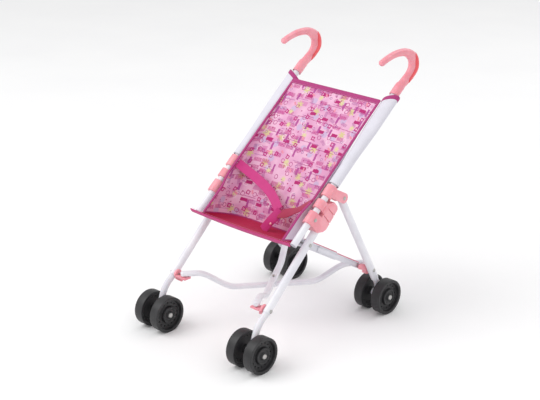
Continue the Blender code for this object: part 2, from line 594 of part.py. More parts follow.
def bar_path(start_x, dip):
    """Centreline of an X bar from its front pin to its rear pin on the other side."""
    start = Vector((start_x, FRONT_CLIP.y, FRONT_CLIP.z + BAR_OVER_TAB))
    end = Vector((-start_x, REAR_CLIP.y, REAR_CLIP.z + BAR_OVER_TAB))
    middle = (start + end) / 2
    half = (end - start).length / 2
    rise_end = half - BAR_END_LEVEL
    path = []
    steps = 16
    marks = [half * (i / steps) for i in range(-steps, steps + 1)]
    for s in marks:
        u = min(max((rise_end - abs(s)) / BAR_JOGGLE, 0.0), 1.0)
        place = middle.lerp(end, s / half) if s >= 0 else middle.lerp(start, -s / half)
        path.append(place - Vector((0.0, 0.0, dip * u * u * (3 - 2 * u))))
    over = (end - start).normalized() * BAR_OVERHANG
    return [path[0] - over] + path + [path[-1] + over]


def make_bars():
    spread = BAR_DEPTH / 2 + BAR_GAP / 2
    for name, sign, dip in (("x_bar_lower", -1, BAR_DIP + spread), ("x_bar_upper", 1, BAR_DIP - spread)):
        path = bar_path(sign * PIN_X, dip)
        bar = swept(name, path, [BAR_WIDTH / 2] * len(path), WHITE_PAINT, squash=BAR_DEPTH / BAR_WIDTH)
        front = Vector((sign * PIN_X, FRONT_CLIP.y, FRONT_CLIP.z))
        rear = Vector((-sign * PIN_X, REAR_CLIP.y, REAR_CLIP.z))
        middle = path[len(path) // 2]
        for label, place in (("front", front), ("rear", rear), ("centre", middle)):
            combine(bar, round_bar(f"{name}_{label}_hole", (place.x, place.y, place.z - 0.03),
                                   (place.x, place.y, place.z + 0.03), BAR_PIN_RADIUS + GAP, sides=12))
    crossing = (FRONT_CLIP + REAR_CLIP) / 2 + Vector((0.0, 0.0, BAR_OVER_TAB - BAR_DIP))
    head = crossing + Vector((0.0, 0.0, BAR_GAP / 2 + BAR_DEPTH + GAP))
    bolt("x_bar_centre_bolt", head, (0, 0, 1), 2 * BAR_DEPTH + BAR_GAP + 3 * GAP, radius=BAR_PIN_RADIUS)


def link_section(half_height, half_width, wall):
    """A channel's section, open towards the leg."""
    return [(-half_width, -half_height), (half_width, -half_height), (half_width, -half_height + wall),
            (-half_width + wall, -half_height + wall), (-half_width + wall, half_height - wall),
            (half_width, half_height - wall), (half_width, half_height), (-half_width, half_height)]


def channel(name, start, end, section, x, sign, look):
    """A straight channel along the link, from a section of (outboard, up) corners."""
    mesh = bpy.data.meshes.new(name)
    shape = bmesh.new()
    along = (end - start).normalized()
    above = Vector((0.0, -along.z, along.y))
    first = [shape.verts.new(at_x(start + above * up, x + sign * out)) for out, up in section]
    face = shape.faces.new(first)
    moved = bmesh.ops.extrude_face_region(shape, geom=[face])
    far = [item for item in moved["geom"] if isinstance(item, bmesh.types.BMVert)]
    bmesh.ops.translate(shape, verts=far, vec=end - start)
    bmesh.ops.recalc_face_normals(shape, faces=shape.faces)
    shape.to_mesh(mesh)
    shape.free()
    made = add_object(name, mesh, look)
    mesh.transform(Matrix.Translation(at_x(start, x) * -1))
    made.location = at_x(start, x)
    return made


def make_link(side, sign):
    x = sign * (HALF_TRACK - LINK_INBOARD)
    reach = LINK_REAR - LINK_FRONT
    along = reach.normalized()
    end_over = along * LINK_HEIGHT * 0.55
    outer_end = LINK_FRONT + along * LINK_OUTER_LENGTH
    outer = channel(f"link_outer_{side}", LINK_FRONT - end_over, outer_end,
                    link_section(LINK_HEIGHT / 2, LINK_WIDTH / 2, LINK_WALL), x, sign, WHITE_PAINT)
    inner_start = outer_end - along * LINK_OVERLAP
    room = LINK_WALL + GAP
    channel(f"link_inner_{side}", inner_start, LINK_REAR + along * LINK_END,
            link_section(LINK_HEIGHT / 2 - room, LINK_WIDTH / 2 - room, LINK_WALL), x, sign,
            WHITE_PAINT)
    hinge = at_x(LINK_FRONT, x)
    combine(outer, round_bar(f"link_hole_{side}", hinge - OUT * 0.02, hinge + OUT * 0.02,
                             BOLT_RADIUS + GAP, sides=12))
    head = at_x(LINK_FRONT, sign * (HALF_TRACK + LEG_RADIUS + GAP))
    bolt(f"link_bolt_{side}", head, OUT * sign, LEG_RADIUS * 2 + GAP * 2 + LINK_WIDTH)


def make_sleeve(side, sign):
    """The flat fabric pocket that the handle tube runs through."""
    x = sign * HALF_TRACK
    low, high = in_side(SLEEVE_LOW_T, 0), in_side(SLEEVE_HIGH_T, 0)
    depth = HANDLE_TUBE_RADIUS + GAP + SLEEVE_WALL
    steps = 20
    ring = [math.radians(360 * i / steps) for i in range(steps)]
    mesh = bpy.data.meshes.new(f"seat_sleeve_{side}")
    shape = bmesh.new()
    first = []
    for angle in ring:
        across, fore = math.cos(angle) * SLEEVE_HALF_WIDTH, math.sin(angle) * depth
        first.append(shape.verts.new(at_x(low, x + across) + BEHIND_TUBE * fore))
    face = shape.faces.new(first)
    moved = bmesh.ops.extrude_face_region(shape, geom=[face])
    far = [item for item in moved["geom"] if isinstance(item, bmesh.types.BMVert)]
    bmesh.ops.translate(shape, verts=far, vec=high - low)
    bmesh.ops.recalc_face_normals(shape, faces=shape.faces)
    shape.to_mesh(mesh)
    shape.free()
    sleeve = add_object(f"seat_sleeve_{side}", mesh, WHITE_FABRIC)
    combine(sleeve, round_bar(f"sleeve_bore_{side}", at_x(low - UP_TUBE * 0.01, x),
                              at_x(high + UP_TUBE * 0.01, x), HANDLE_TUBE_RADIUS + GAP, sides=16))


def panel_line():
    """Middle line of the sling's section, from the top hem to the front edge."""
    back = [in_side(t, b) for t, b in ((HEM_T, HEM_B), (CHEST_T, CHEST_B), (WAIST_T, WAIST_B),
                                       (HIP_T, HIP_B))]
    sag = SEAT_CREASE.lerp(SEAT_FRONT, 0.35) - Vector((0.0, 0.0, SEAT_SAG))
    return smooth_path(back + [SEAT_CREASE, sag, SEAT_FRONT], 4)


def ribbon(name, path, across, width, thickness, look):
    """An open strip along a path, given its thickness."""
    mesh = bpy.data.meshes.new(name)
    left = [p - a * width / 2 for p, a in zip(path, across)]
    right = [p + a * width / 2 for p, a in zip(path, across)]
    count = len(path)
    faces = [(i, i + 1, count + i + 1, count + i) for i in range(count - 1)]
    mesh.from_pydata(left + right, [], faces)
    made = add_object(name, mesh, look)
    wall = made.modifiers.new("thickness", "SOLIDIFY")
    wall.thickness = thickness
    wall.offset = 0.0
    wall.use_even_offset = True


def make_seat():
    path = panel_line()
    ribbon("seat_sling", path, [OUT] * len(path), 2 * BACK_HALF_WIDTH, PANEL_THICKNESS, PRINT_FABRIC)


def make_straps():
    """The crotch strap and two waist straps that meet in front of the doll's lap."""
    run = SEAT_FRONT - SEAT_CREASE
    seat_up = Vector((0.0, run.z, -run.y)).normalized()
    lift = PANEL_THICKNESS / 2 + STRAP_THICKNESS / 2 + STRAP_CLEARANCE
    base = SEAT_CREASE.lerp(SEAT_FRONT, 0.45) + seat_up * lift
    meet = base + Vector((0.0, CROTCH_STRAP_RISE, CROTCH_STRAP_RISE))
    half_way = base + Vector((0.0, CROTCH_STRAP_RISE * 0.3, CROTCH_STRAP_RISE * 0.53))
    crotch = smooth_path([base, half_way, meet], 5)
    ribbon("crotch_strap", crotch, [OUT] * len(crotch), STRAP_WIDTH, STRAP_THICKNESS, WEBBING)
    anchor = in_side(WAIST_STRAP_T, WAIST_STRAP_B)
    for side, sign in SIDES:
        start = at_x(anchor, sign * (BACK_HALF_WIDTH - STRAP_WIDTH * 0.5))
        stop = meet + Vector((sign * (STRAP_WIDTH / 2 + STRAP_END_GAP), 0.004, 0.004))
        hang = start.lerp(stop, 0.5) + Vector((0.0, -0.006, -0.010))
        path = smooth_path([start, hang, stop], 7)
        across = []
        for i in range(len(path)):
            along = path[min(i + 1, len(path) - 1)] - path[max(i - 1, 0)]
            across.append(along.cross(Vector((0.0, 1.0, -0.35))).normalized())
        ribbon(f"waist_strap_{side}", path, across, STRAP_WIDTH, STRAP_THICKNESS, WEBBING)


def hang_on(name, place, pieces, parent=None):
    """An empty on a joint's axis, which the pieces of that moving body turn with."""
    pivot = bpy.data.objects.new(name, None)
    PARTS.objects.link(pivot)
    pivot.empty_display_size = 0.01
    pivot.parent = parent
    pivot.location = place - parent.location if parent else place
    for piece in pieces:
        child = bpy.data.objects[piece]
        child.parent = pivot
        child.matrix_parent_inverse = Matrix.Translation(place).inverted()
    return pivot


def add_joints(side, sign):
    x = sign * HALF_TRACK
    leg = hang_on(f"rear_leg_pivot_{side}", at_x(REAR_PIVOT, x),
                  [f"rear_leg_{side}", f"rear_foot_{side}", f"rear_axle_{side}", f"rear_clip_bolt_{side}"])
    hang_on(f"rear_clip_hinge_{side}", at_x(REAR_CLIP, x), [f"rear_clip_{side}"], leg)
    hang_on(f"front_clip_hinge_{side}", at_x(FRONT_CLIP, x), [f"front_clip_{side}"])
    hang_on(f"link_pivot_{side}", at_x(LINK_FRONT, x), [f"link_outer_{side}", f"link_inner_{side}"])


for side_name, side_sign in SIDES:
    make_handle(side_name, side_sign)
    make_brackets(side_name, side_sign)
    make_legs(side_name, side_sign)
    make_axle_and_wheels("front", FRONT_AXLE, side_name, side_sign)
    make_axle_and_wheels("rear", REAR_AXLE, side_name, side_sign)
    make_clip("front_clip", FRONT_CLIP, side_name, side_sign)
    make_clip("rear_clip", REAR_CLIP, side_name, side_sign, lug=LINK_REAR)
    make_link(side_name, side_sign)
    make_sleeve(side_name, side_sign)
    add_joints(side_name, side_sign)
make_bars()
make_seat()
make_straps()
hang_on("fold_pivot", at_x(FRONT_CLIP, -PIN_X), ["x_bar_lower", "x_bar_centre_bolt"])
hang_on("crossing_pivot", (FRONT_CLIP + REAR_CLIP) / 2, ["x_bar_upper"])
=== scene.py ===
"""A folding doll stroller: its studio, and then the stroller piece by piece as it is put together."""

import json
import math

import bpy
import bmesh
import numpy as np
from mathutils import Matrix, Vector, noise as mnoise


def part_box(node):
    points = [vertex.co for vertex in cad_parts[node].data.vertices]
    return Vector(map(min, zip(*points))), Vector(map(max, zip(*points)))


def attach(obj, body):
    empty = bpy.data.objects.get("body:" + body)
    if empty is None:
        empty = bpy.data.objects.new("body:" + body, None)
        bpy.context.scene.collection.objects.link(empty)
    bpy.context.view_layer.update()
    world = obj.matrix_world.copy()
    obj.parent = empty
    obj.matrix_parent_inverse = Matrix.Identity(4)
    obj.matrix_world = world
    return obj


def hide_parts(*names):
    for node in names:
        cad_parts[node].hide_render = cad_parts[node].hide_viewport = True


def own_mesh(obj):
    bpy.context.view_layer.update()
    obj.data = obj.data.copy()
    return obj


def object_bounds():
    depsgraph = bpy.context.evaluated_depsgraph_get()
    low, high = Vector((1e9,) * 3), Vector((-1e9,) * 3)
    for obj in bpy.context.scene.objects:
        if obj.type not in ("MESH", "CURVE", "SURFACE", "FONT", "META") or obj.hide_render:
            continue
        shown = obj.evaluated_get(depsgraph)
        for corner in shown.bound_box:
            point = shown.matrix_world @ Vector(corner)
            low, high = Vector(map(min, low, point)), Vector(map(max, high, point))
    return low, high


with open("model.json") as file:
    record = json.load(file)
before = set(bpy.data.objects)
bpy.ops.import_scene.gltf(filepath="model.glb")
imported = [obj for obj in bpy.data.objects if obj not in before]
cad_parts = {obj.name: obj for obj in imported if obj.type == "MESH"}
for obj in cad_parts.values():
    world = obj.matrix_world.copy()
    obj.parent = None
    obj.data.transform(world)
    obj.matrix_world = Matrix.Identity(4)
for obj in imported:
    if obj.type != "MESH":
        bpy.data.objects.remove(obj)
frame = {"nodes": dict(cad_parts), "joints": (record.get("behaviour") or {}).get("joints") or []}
cad_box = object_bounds()
nodes = frame["nodes"]
joints = {joint["name"]: joint for joint in frame["joints"]}
SIDES = (("left", -1, "left_frame"), ("right", 1, "right_frame"))

# ---------------------------------------------------------------------------------------------
# Studio: a pale paper sweep, a large soft light over the front left and a weaker one at the
# right, and a camera at the height and angle of a catalogue view of the open stroller.
# ---------------------------------------------------------------------------------------------


def linear(code):
    """An sRGB hex colour as the linear colour that a shader takes."""
    parts = [int(code[i:i + 2], 16) / 255 for i in (0, 2, 4)]
    return [p / 12.92 if p <= 0.04045 else ((p + 0.055) / 1.055) ** 2.4 for p in parts] + [1.0]


def add_node(tree, kind, inputs=None, **settings):
    """A node with its settings, and its inputs linked from a socket or set to a value."""
    made = tree.nodes.new(kind)
    for name, value in settings.items():
        setattr(made, name, value)
    for key, value in (inputs or {}).items():
        if isinstance(value, bpy.types.NodeSocket):
            tree.links.new(value, made.inputs[key])
        else:
            made.inputs[key].default_value = value
    return made


def new_material(name, **constants):
    """A material with a Principled shader whose named inputs are set, its tree and its shader."""
    made = bpy.data.materials.new(name)
    made.use_nodes = True
    tree = made.node_tree
    shader = tree.nodes["Principled BSDF"]
    for key, value in constants.items():
        shader.inputs[key.replace("_", " ")].default_value = value
    return made, tree, shader


def add_object(name, mesh, material=None):
    """A new object in the scene, all of one material where one is given."""
    made = bpy.data.objects.new(name, mesh)
    bpy.context.scene.collection.objects.link(made)
    if material:
        mesh.materials.clear()
        mesh.materials.append(material)
    return made


middle = (Vector(cad_box[0]) + Vector(cad_box[1])) / 2
AIM = Vector((0.0, middle.y - 0.033, middle.z - 0.015))
CAMERA_AT = Vector((1.768, -1.871, 1.2075))
LENS = 90.5
camera = bpy.data.objects.new("camera", bpy.data.cameras.new("camera"))
bpy.context.scene.collection.objects.link(camera)
camera.location = CAMERA_AT
camera.rotation_euler = (AIM - CAMERA_AT).to_track_quat("-Z", "Y").to_euler()
camera.data.lens = LENS
bpy.context.scene.camera = camera
bpy.context.scene.view_settings.view_transform = "Standard"

paper, paper_tree, paper_shader = new_material("white_paper_sweep", Roughness=0.95)
grain = add_node(paper_tree, "ShaderNodeTexNoise", {"Scale": 40.0, "Detail": 3.0})
shade = add_node(paper_tree, "ShaderNodeValToRGB", {"Fac": grain.outputs["Fac"]})
shade.color_ramp.elements[0].color = linear("f4f4f5")
shade.color_ramp.elements[1].color = linear("fafafa")
paper_tree.links.new(shade.outputs["Color"], paper_shader.inputs["Base Color"])
floor_mesh = bpy.data.meshes.new("floor")
SWEEP = 6.0
floor_mesh.from_pydata([(-SWEEP, -SWEEP, 0), (SWEEP, -SWEEP, 0), (SWEEP, SWEEP, 0), (-SWEEP, SWEEP, 0)],
                       [], [(0, 1, 2, 3)])
floor = add_object("floor", floor_mesh, paper)

world = bpy.data.worlds.new("studio")
bpy.context.scene.world = world
world.use_nodes = True
world.node_tree.nodes["Background"].inputs["Color"].default_value = linear("ffffff")
world.node_tree.nodes["Background"].inputs["Strength"].default_value = 0.80
for label, place, size, power in (("key", (-1.3, -1.9, 2.6), 2.2, 44), ("fill", (2.6, -0.9, 1.7), 2.0, 9),
                                  ("back", (0.5, 2.4, 2.4), 2.0, 16)):
    lamp = bpy.data.lights.new(f"{label}_light", "AREA")
    lamp.size = size
    lamp.energy = power
    stand = bpy.data.objects.new(f"{label}_light", lamp)
    bpy.context.scene.collection.objects.link(stand)
    stand.location = place
    stand.rotation_euler = (AIM - Vector(place)).to_track_quat("-Z", "Y").to_euler()

# ---------------------------------------------------------------------------------------------
# Frame tubes: two handle tubes, two front legs and two rear legs, of welded steel tube with a
# white powder coat. Each runs straight between the brackets, and its cut ends are open.
# ---------------------------------------------------------------------------------------------
ORANGE_PEEL = 0.0012          # spacing of the coat's ripple, in metres
TUBE_SIDES = 56
EDGE_ROUND = 0.0004
END_BAND = 0.004              # points this near a tube's end belong to its rim

white_coat, coat_tree, coat_shader = new_material("white_powder_coat_on_steel", Roughness=0.34,
                                                  IOR=1.5, Coat_Weight=0.25, Coat_Roughness=0.2)


def dress_moulding(tree, shader, clouds, ramp, gloss, skin):
    """A moulded or sprayed skin: clouds of a second tone and of gloss, and a fine relief. clouds is
    their (scale, detail, distortion), ramp two (position, colour) pairs, gloss the lowest and highest
    roughness, and skin the relief's (scale, detail, strength, depth in metres)."""
    at = add_node(tree, "ShaderNodeTexCoord").outputs["Object"]
    cloud = add_node(tree, "ShaderNodeTexNoise", {"Vector": at, "Scale": clouds[0], "Detail": clouds[1],
                                                  "Distortion": clouds[2]})
    tint = add_node(tree, "ShaderNodeValToRGB", {"Fac": cloud.outputs["Fac"]})
    for element, (position, colour) in zip(tint.color_ramp.elements, ramp):
        element.position = position
        element.color = linear(colour)
    tree.links.new(tint.outputs["Color"], shader.inputs["Base Color"])
    sheen = add_node(tree, "ShaderNodeMapRange", {"Value": cloud.outputs["Fac"], "To Min": gloss[0],
                                                  "To Max": gloss[1]})
    tree.links.new(sheen.outputs["Result"], shader.inputs["Roughness"])
    relief = add_node(tree, "ShaderNodeTexNoise", {"Vector": at, "Scale": skin[0], "Detail": skin[1]})
    bump = add_node(tree, "ShaderNodeBump", {"Height": relief.outputs["Fac"], "Strength": skin[2],
                                             "Distance": skin[3]})
    tree.links.new(bump.outputs["Normal"], shader.inputs["Normal"])


dress_moulding(coat_tree, coat_shader, (22.0, 5.0, 0.0), ((0.35, "dddce4"), (0.62, "e9e8ee")),
               (0.28, 0.46), (1 / ORANGE_PEEL, 2.0, 0.25, 0.0002))


def filleted(corners, radius, steps=3, closed=True):
    """The corners of a (radius, height) profile, each rounded where there is room."""
    made = []
    count = len(corners)
    for i, corner in enumerate(corners):
        here = Vector(corner)
        if not closed and i in (0, count - 1):
            made.append(here)
            continue
        before, after = Vector(corners[i - 1]), Vector(corners[(i + 1) % count])
        cut = min(radius, (here - before).length * 0.45, (here - after).length * 0.45)
        first = here + (before - here).normalized() * cut
        last = here + (after - here).normalized() * cut
        for k in range(steps + 1):
            u = k / steps
            made.append(first * (1 - u) ** 2 + here * (2 * u * (1 - u)) + last * u ** 2)
    return made


def finish_mesh(name, shape, material, sharp=35):
    """A bmesh made an object, with its faces outwards and only its real edges sharp."""
    bmesh.ops.remove_doubles(shape, verts=shape.verts, dist=0.000005)
    bmesh.ops.recalc_face_normals(shape, faces=shape.faces)
    mesh = bpy.data.meshes.new(name)
    shape.to_mesh(mesh)
    shape.free()
    mesh.shade_smooth()
    mesh.set_sharp_from_angle(angle=math.radians(sharp))
    return add_object(name, mesh, material)


def turned(name, profile, place, direction, material, steps=TUBE_SIDES, closed=True):
    """A profile of (radius, height) turned about the direction through the place."""
    shape = bmesh.new()
    turn = Matrix.Translation(place) @ Vector(direction).to_track_quat("Z", "Y").to_matrix().to_4x4()
    rings = []
    for radius, height in profile:
        if radius < 1e-7:
            rings.append([shape.verts.new(turn @ Vector((0, 0, height)))] * steps)
            continue
        rings.append([shape.verts.new(turn @ Vector((radius * math.cos(2 * math.pi * k / steps),
                                                     radius * math.sin(2 * math.pi * k / steps),
                                                     height))) for k in range(steps)])
    spans = len(rings) if closed else len(rings) - 1
    for i in range(spans):
        low, high = rings[i], rings[(i + 1) % len(rings)]
        for k in range(steps):
            ring = [low[k], low[(k + 1) % steps], high[(k + 1) % steps], high[k]]
            face = [v for j, v in enumerate(ring) if v not in ring[:j]]
            if len(face) > 2:
                shape.faces.new(face)
    return finish_mesh(name, shape, material)


def tube_line(node):
    """The low and high ends of a straight CAD tube's axis, and its outer radius."""
    places = np.array([v.co for v in nodes[node].data.vertices])
    low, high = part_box(node)
    rise = 1 if (places[:, 1] - places[:, 1].mean()) @ (places[:, 2] - places[:, 2].mean()) > 0 else -1
    guess = np.array([0.0, (high.y - low.y) * rise, high.z - low.z])
    along = places @ (guess / np.linalg.norm(guess))
    ends = []
    for near in (along.min(), along.max()):
        ring = places[np.abs(along - near) < END_BAND]
        ends.append(Vector((ring.min(0) + ring.max(0)) / 2))
    axis = (ends[1] - ends[0]).normalized()
    ring = places[np.abs(along - along.min()) < END_BAND]
    reach = max((Vector(p) - ends[0]).cross(axis).length for p in ring)
    return ends[0], ends[1], reach


WALL = 0.0009
for side, sign, body in SIDES:
    for label, rides in (("handle_tube", body), ("front_leg", body), ("rear_leg", f"{side}_rear_leg")):
        low, high, radius = tube_line(f"{label}_{side}")
        length = (high - low).length
        wall = [(radius, 0.0), (radius, length), (radius - WALL, length), (radius - WALL, 0.0)]
        pipe = turned(f"{label}_{side}_steel", filleted(wall, EDGE_ROUND), low, high - low, white_coat)
        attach(pipe, rides)
        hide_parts(f"{label}_{side}")

# ---------------------------------------------------------------------------------------------
# Feet: white moulded plastic feet that plug into the legs, bend forward or down and end in an
# eye for the axle. They are the narrower lengths between the legs and the wheels.
# ---------------------------------------------------------------------------------------------
white_plastic, plastic_tree, plastic_shader = new_material("white_moulded_polypropylene", Roughness=0.4,
                                                           IOR=1.49, Subsurface_Weight=0.04)
dress_moulding(plastic_tree, plastic_shader, (22.0, 5.0, 0.0), ((0.35, "d6d4dc"), (0.62, "e4e2e8")),
               (0.28, 0.46), (1 / 0.002, 2.0, 0.15, 0.0002))


def merged_copy(node):
    """A bmesh of a CAD node with its loose triangles joined and its flat faces whole again."""
    shape = bmesh.new()
    shape.from_mesh(nodes[node].data)
    bmesh.ops.remove_doubles(shape, verts=shape.verts, dist=0.00001)
    bmesh.ops.dissolve_limit(shape, angle_limit=math.radians(1.0), verts=shape.verts, edges=shape.edges)
    return shape


def grown(piece):
    """The piece with its modifiers' result as its own plain mesh."""
    bpy.context.view_layer.update()
    seen = piece.evaluated_get(bpy.context.evaluated_depsgraph_get())
    mesh = bpy.data.meshes.new_from_object(seen)
    piece.modifiers.clear()
    piece.data = mesh
    return piece


def softened(node, name, material, width, angle=32, segments=3):
    """A moulding's shape from its CAD node, with a rounded edge along every real corner."""
    mesh = bpy.data.meshes.new(name)
    shape = merged_copy(node)
    shape.to_mesh(mesh)
    shape.free()
    made = add_object(name, mesh, material)
    edge = made.modifiers.new("rounded edges", "BEVEL")
    edge.width = width
    edge.segments = segments
    edge.limit_method = "ANGLE"
    edge.angle_limit = math.radians(angle)
    edge.use_clamp_overlap = True
    grown(made).data.shade_smooth()
    made.data.set_sharp_from_angle(angle=math.radians(40))
    return made


for side, sign, body in SIDES:
    for label, rides in (("front_foot", body), ("rear_foot", f"{side}_rear_leg")):
        foot = softened(f"{label}_{side}", f"{label}_{side}_moulding", white_plastic, 0.0006)
        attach(foot, rides)
        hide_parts(f"{label}_{side}")

# ---------------------------------------------------------------------------------------------
# Brackets and clips: salmon-pink moulded plastic. The upper bracket forks over the rear leg, the
# lower one holds the front leg with two rings and ribs, and the clips carry the X bars' ends.
# ---------------------------------------------------------------------------------------------
PINK_EDGE = 0.0009

pink_plastic, pink_tree, pink_shader = new_material("salmon_pink_moulded_polypropylene", Roughness=0.36,
                                                    IOR=1.49, Subsurface_Weight=0.12,
                                                    Subsurface_Scale=0.004, Coat_Weight=0.12,
                                                    Coat_Roughness=0.25)


FLOW = (38.0, 3.0, 0.6)         # clouds of the coloured plastics, from the way they fill the mould
MOULD_SKIN = (1600.0, 2.0, 0.12, 0.0001)
dress_moulding(pink_tree, pink_shader, FLOW, ((0.38, "e9929f"), (0.6, "f0a0ac")), (0.3, 0.42),
               MOULD_SKIN)

for side, sign, body in SIDES:
    for label, rides in (("upper_bracket", body), ("lower_bracket", body),
                         ("front_clip", f"{side}_front_clip"), ("rear_clip", f"{side}_rear_clip")):
        moulding = softened(f"{label}_{side}", f"{label}_{side}_moulding", pink_plastic, PINK_EDGE)
        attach(moulding, rides)
        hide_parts(f"{label}_{side}")

# ---------------------------------------------------------------------------------------------
# Bolts and axles: bright zinc-plated steel. They are the bolts of the brackets, clips and links, the
# screws that hold the handle grips, and the four axles.
# ---------------------------------------------------------------------------------------------
zinc, zinc_tree, zinc_shader = new_material("zinc_plated_steel", Metallic=1.0, Roughness=0.32)
zinc_at = add_node(zinc_tree, "ShaderNodeTexCoord").outputs["Object"]
spangle = add_node(zinc_tree, "ShaderNodeTexVoronoi", {"Vector": zinc_at, "Scale": 900.0})
zinc_tint = add_node(zinc_tree, "ShaderNodeValToRGB", {"Fac": spangle.outputs["Distance"]})
zinc_tint.color_ramp.elements[0].color = linear("c4c3c0")
zinc_tint.color_ramp.elements[1].color = linear("a9a8a6")
zinc_tree.links.new(zinc_tint.outputs["Color"], zinc_shader.inputs["Base Color"])
zinc_gloss = add_node(zinc_tree, "ShaderNodeMapRange", {"Value": spangle.outputs["Distance"],
                                                        "To Min": 0.25, "To Max": 0.4})
zinc_tree.links.new(zinc_gloss.outputs["Result"], zinc_shader.inputs["Roughness"])

HARDWARE = [(f"{label}_{side}", body if rides == "frame" else f"{side}_{rides}")
            for side, sign, body in SIDES
            for label, rides in (("handle_screw", "frame"), ("rear_leg_pivot_bolt", "frame"),
                                 ("lower_bracket_bolt", "frame"), ("front_clip_bolt", "frame"),
                                 ("link_bolt", "frame"), ("rear_clip_bolt", "rear_leg"),
                                 ("front_axle", "frame"), ("rear_axle", "rear_leg"))]
for node, rides in HARDWARE + [("x_bar_centre_bolt", "lower_x_bar")]:
    metal = softened(node, f"{node}_zinc", zinc, 0.0003, segments=2)
    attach(metal, rides)
    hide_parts(node)

# ---------------------------------------------------------------------------------------------
# X bars: two flat-oval steel bars with the same white coat. Each runs from a front clip to the
# rear clip on the other side, with its middle lowered so that the pair can cross and fold.
# ---------------------------------------------------------------------------------------------
BAR_WIDTH = 0.014
BAR_DEPTH = 0.011
BAR_END_LEVEL = 0.024
BAR_JOGGLE = 0.082
BAR_OVERHANG = 0.0077
BAR_END_ROUND = 0.004
BAR_SIDES = 40
BAR_RINGS = 120


def skin_over(shape, rings, caps=True):
    """Faces from each ring of corners to the next and, with caps, over the first and the last."""
    for low, high in zip(rings, rings[1:]):
        for k in range(len(low)):
            nxt = (k + 1) % len(low)
            shape.faces.new((low[k], low[nxt], high[nxt], high[k]))
    if caps:
        shape.faces.new(rings[0])
        shape.faces.new(rings[-1])


def sweep(name, centres, side_ways, sections, material, sharp=35):
    """A closed skin through rings: each section's (across, up) corners at its place on the path.
    side_ways is the direction across the path; the first and last sections are closed flat."""
    shape = bmesh.new()
    rings = []
    count = len(centres)
    for i, (place, section) in enumerate(zip(centres, sections)):
        along = (centres[min(i + 1, count - 1)] - centres[max(i - 1, 0)]).normalized()
        above = side_ways.cross(along).normalized()
        rings.append([shape.verts.new(place + side_ways * a + above * u) for a, u in section])
    skin_over(shape, rings)
    return finish_mesh(name, shape, material, sharp)


def oval(width, depth, sides, power=2.0):
    """The corners of an oval; a higher power squares its shoulders."""
    turn = [2 * math.pi * k / sides for k in range(sides)]
    return [(math.copysign(abs(math.cos(a)) ** (2 / power), math.cos(a)) * width / 2,
             math.copysign(abs(math.sin(a)) ** (2 / power), math.sin(a)) * depth / 2) for a in turn]


for label, start_joint in (("lower", "fold"), ("upper", "right_clip_swivel")):
    low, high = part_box(f"x_bar_{label}")
    start_pin = Vector(joints[start_joint]["pos_m"])
    rear_hinge = Vector(joints["rear_clip_tilt_left"]["pos_m"])
    level = high.z - BAR_DEPTH / 2
    start = Vector((start_pin.x, start_pin.y, level + (start_pin.z - max(start_pin.z, rear_hinge.z))))
    end = Vector((-start_pin.x, rear_hinge.y, level + (rear_hinge.z - max(start_pin.z, rear_hinge.z))))
    half = (end - start).length / 2
    dip = (start.z + end.z) / 2 - (low.z + BAR_DEPTH / 2)
    centres = []
    for i in range(BAR_RINGS + 1):
        s = (half + BAR_OVERHANG) * (2 * i / BAR_RINGS - 1)
        u = min(max((half - BAR_END_LEVEL - abs(s)) / BAR_JOGGLE, 0.0), 1.0)
        place = start.lerp(end, (s + half) / (2 * half))
        centres.append(place - Vector((0.0, 0.0, dip * u * u * (3 - 2 * u))))
    across = Vector((end - start).cross(Vector((0, 0, 1)))).normalized()
    sections = []
    for place in centres:
        near = min((place - centres[0]).length, (place - centres[-1]).length)
        close = math.sqrt(max(1 - (1 - min(near / BAR_END_ROUND, 1.0)) ** 2, 0.0))
        sections.append(oval(BAR_WIDTH * (0.55 + 0.45 * close), BAR_DEPTH * (0.7 + 0.3 * close),
                             BAR_SIDES, 2.4))
    bar = sweep(f"x_bar_{label}_steel", centres, across, sections, white_coat)
    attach(bar, f"{label}_x_bar")
    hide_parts(f"x_bar_{label}")

# ---------------------------------------------------------------------------------------------
# Side links: a white channel that slides over a slimmer one, between the front leg and the rear
# clip on each side. A pink lining strip runs along the top of both.
# ---------------------------------------------------------------------------------------------
LINING_START = 0.012
LINING_END = 0.0015
LINING_THICK = 0.0022
LINING_SHARE = 0.5
LINING_OUT = 0.0015

for side, sign, body in SIDES:
    for part in ("outer", "inner"):
        channel = softened(f"link_{part}_{side}", f"link_{part}_{side}_channel", white_coat, 0.0005,
                           segments=2)
        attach(channel, f"{side}_link_{part}")
        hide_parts(f"link_{part}_{side}")

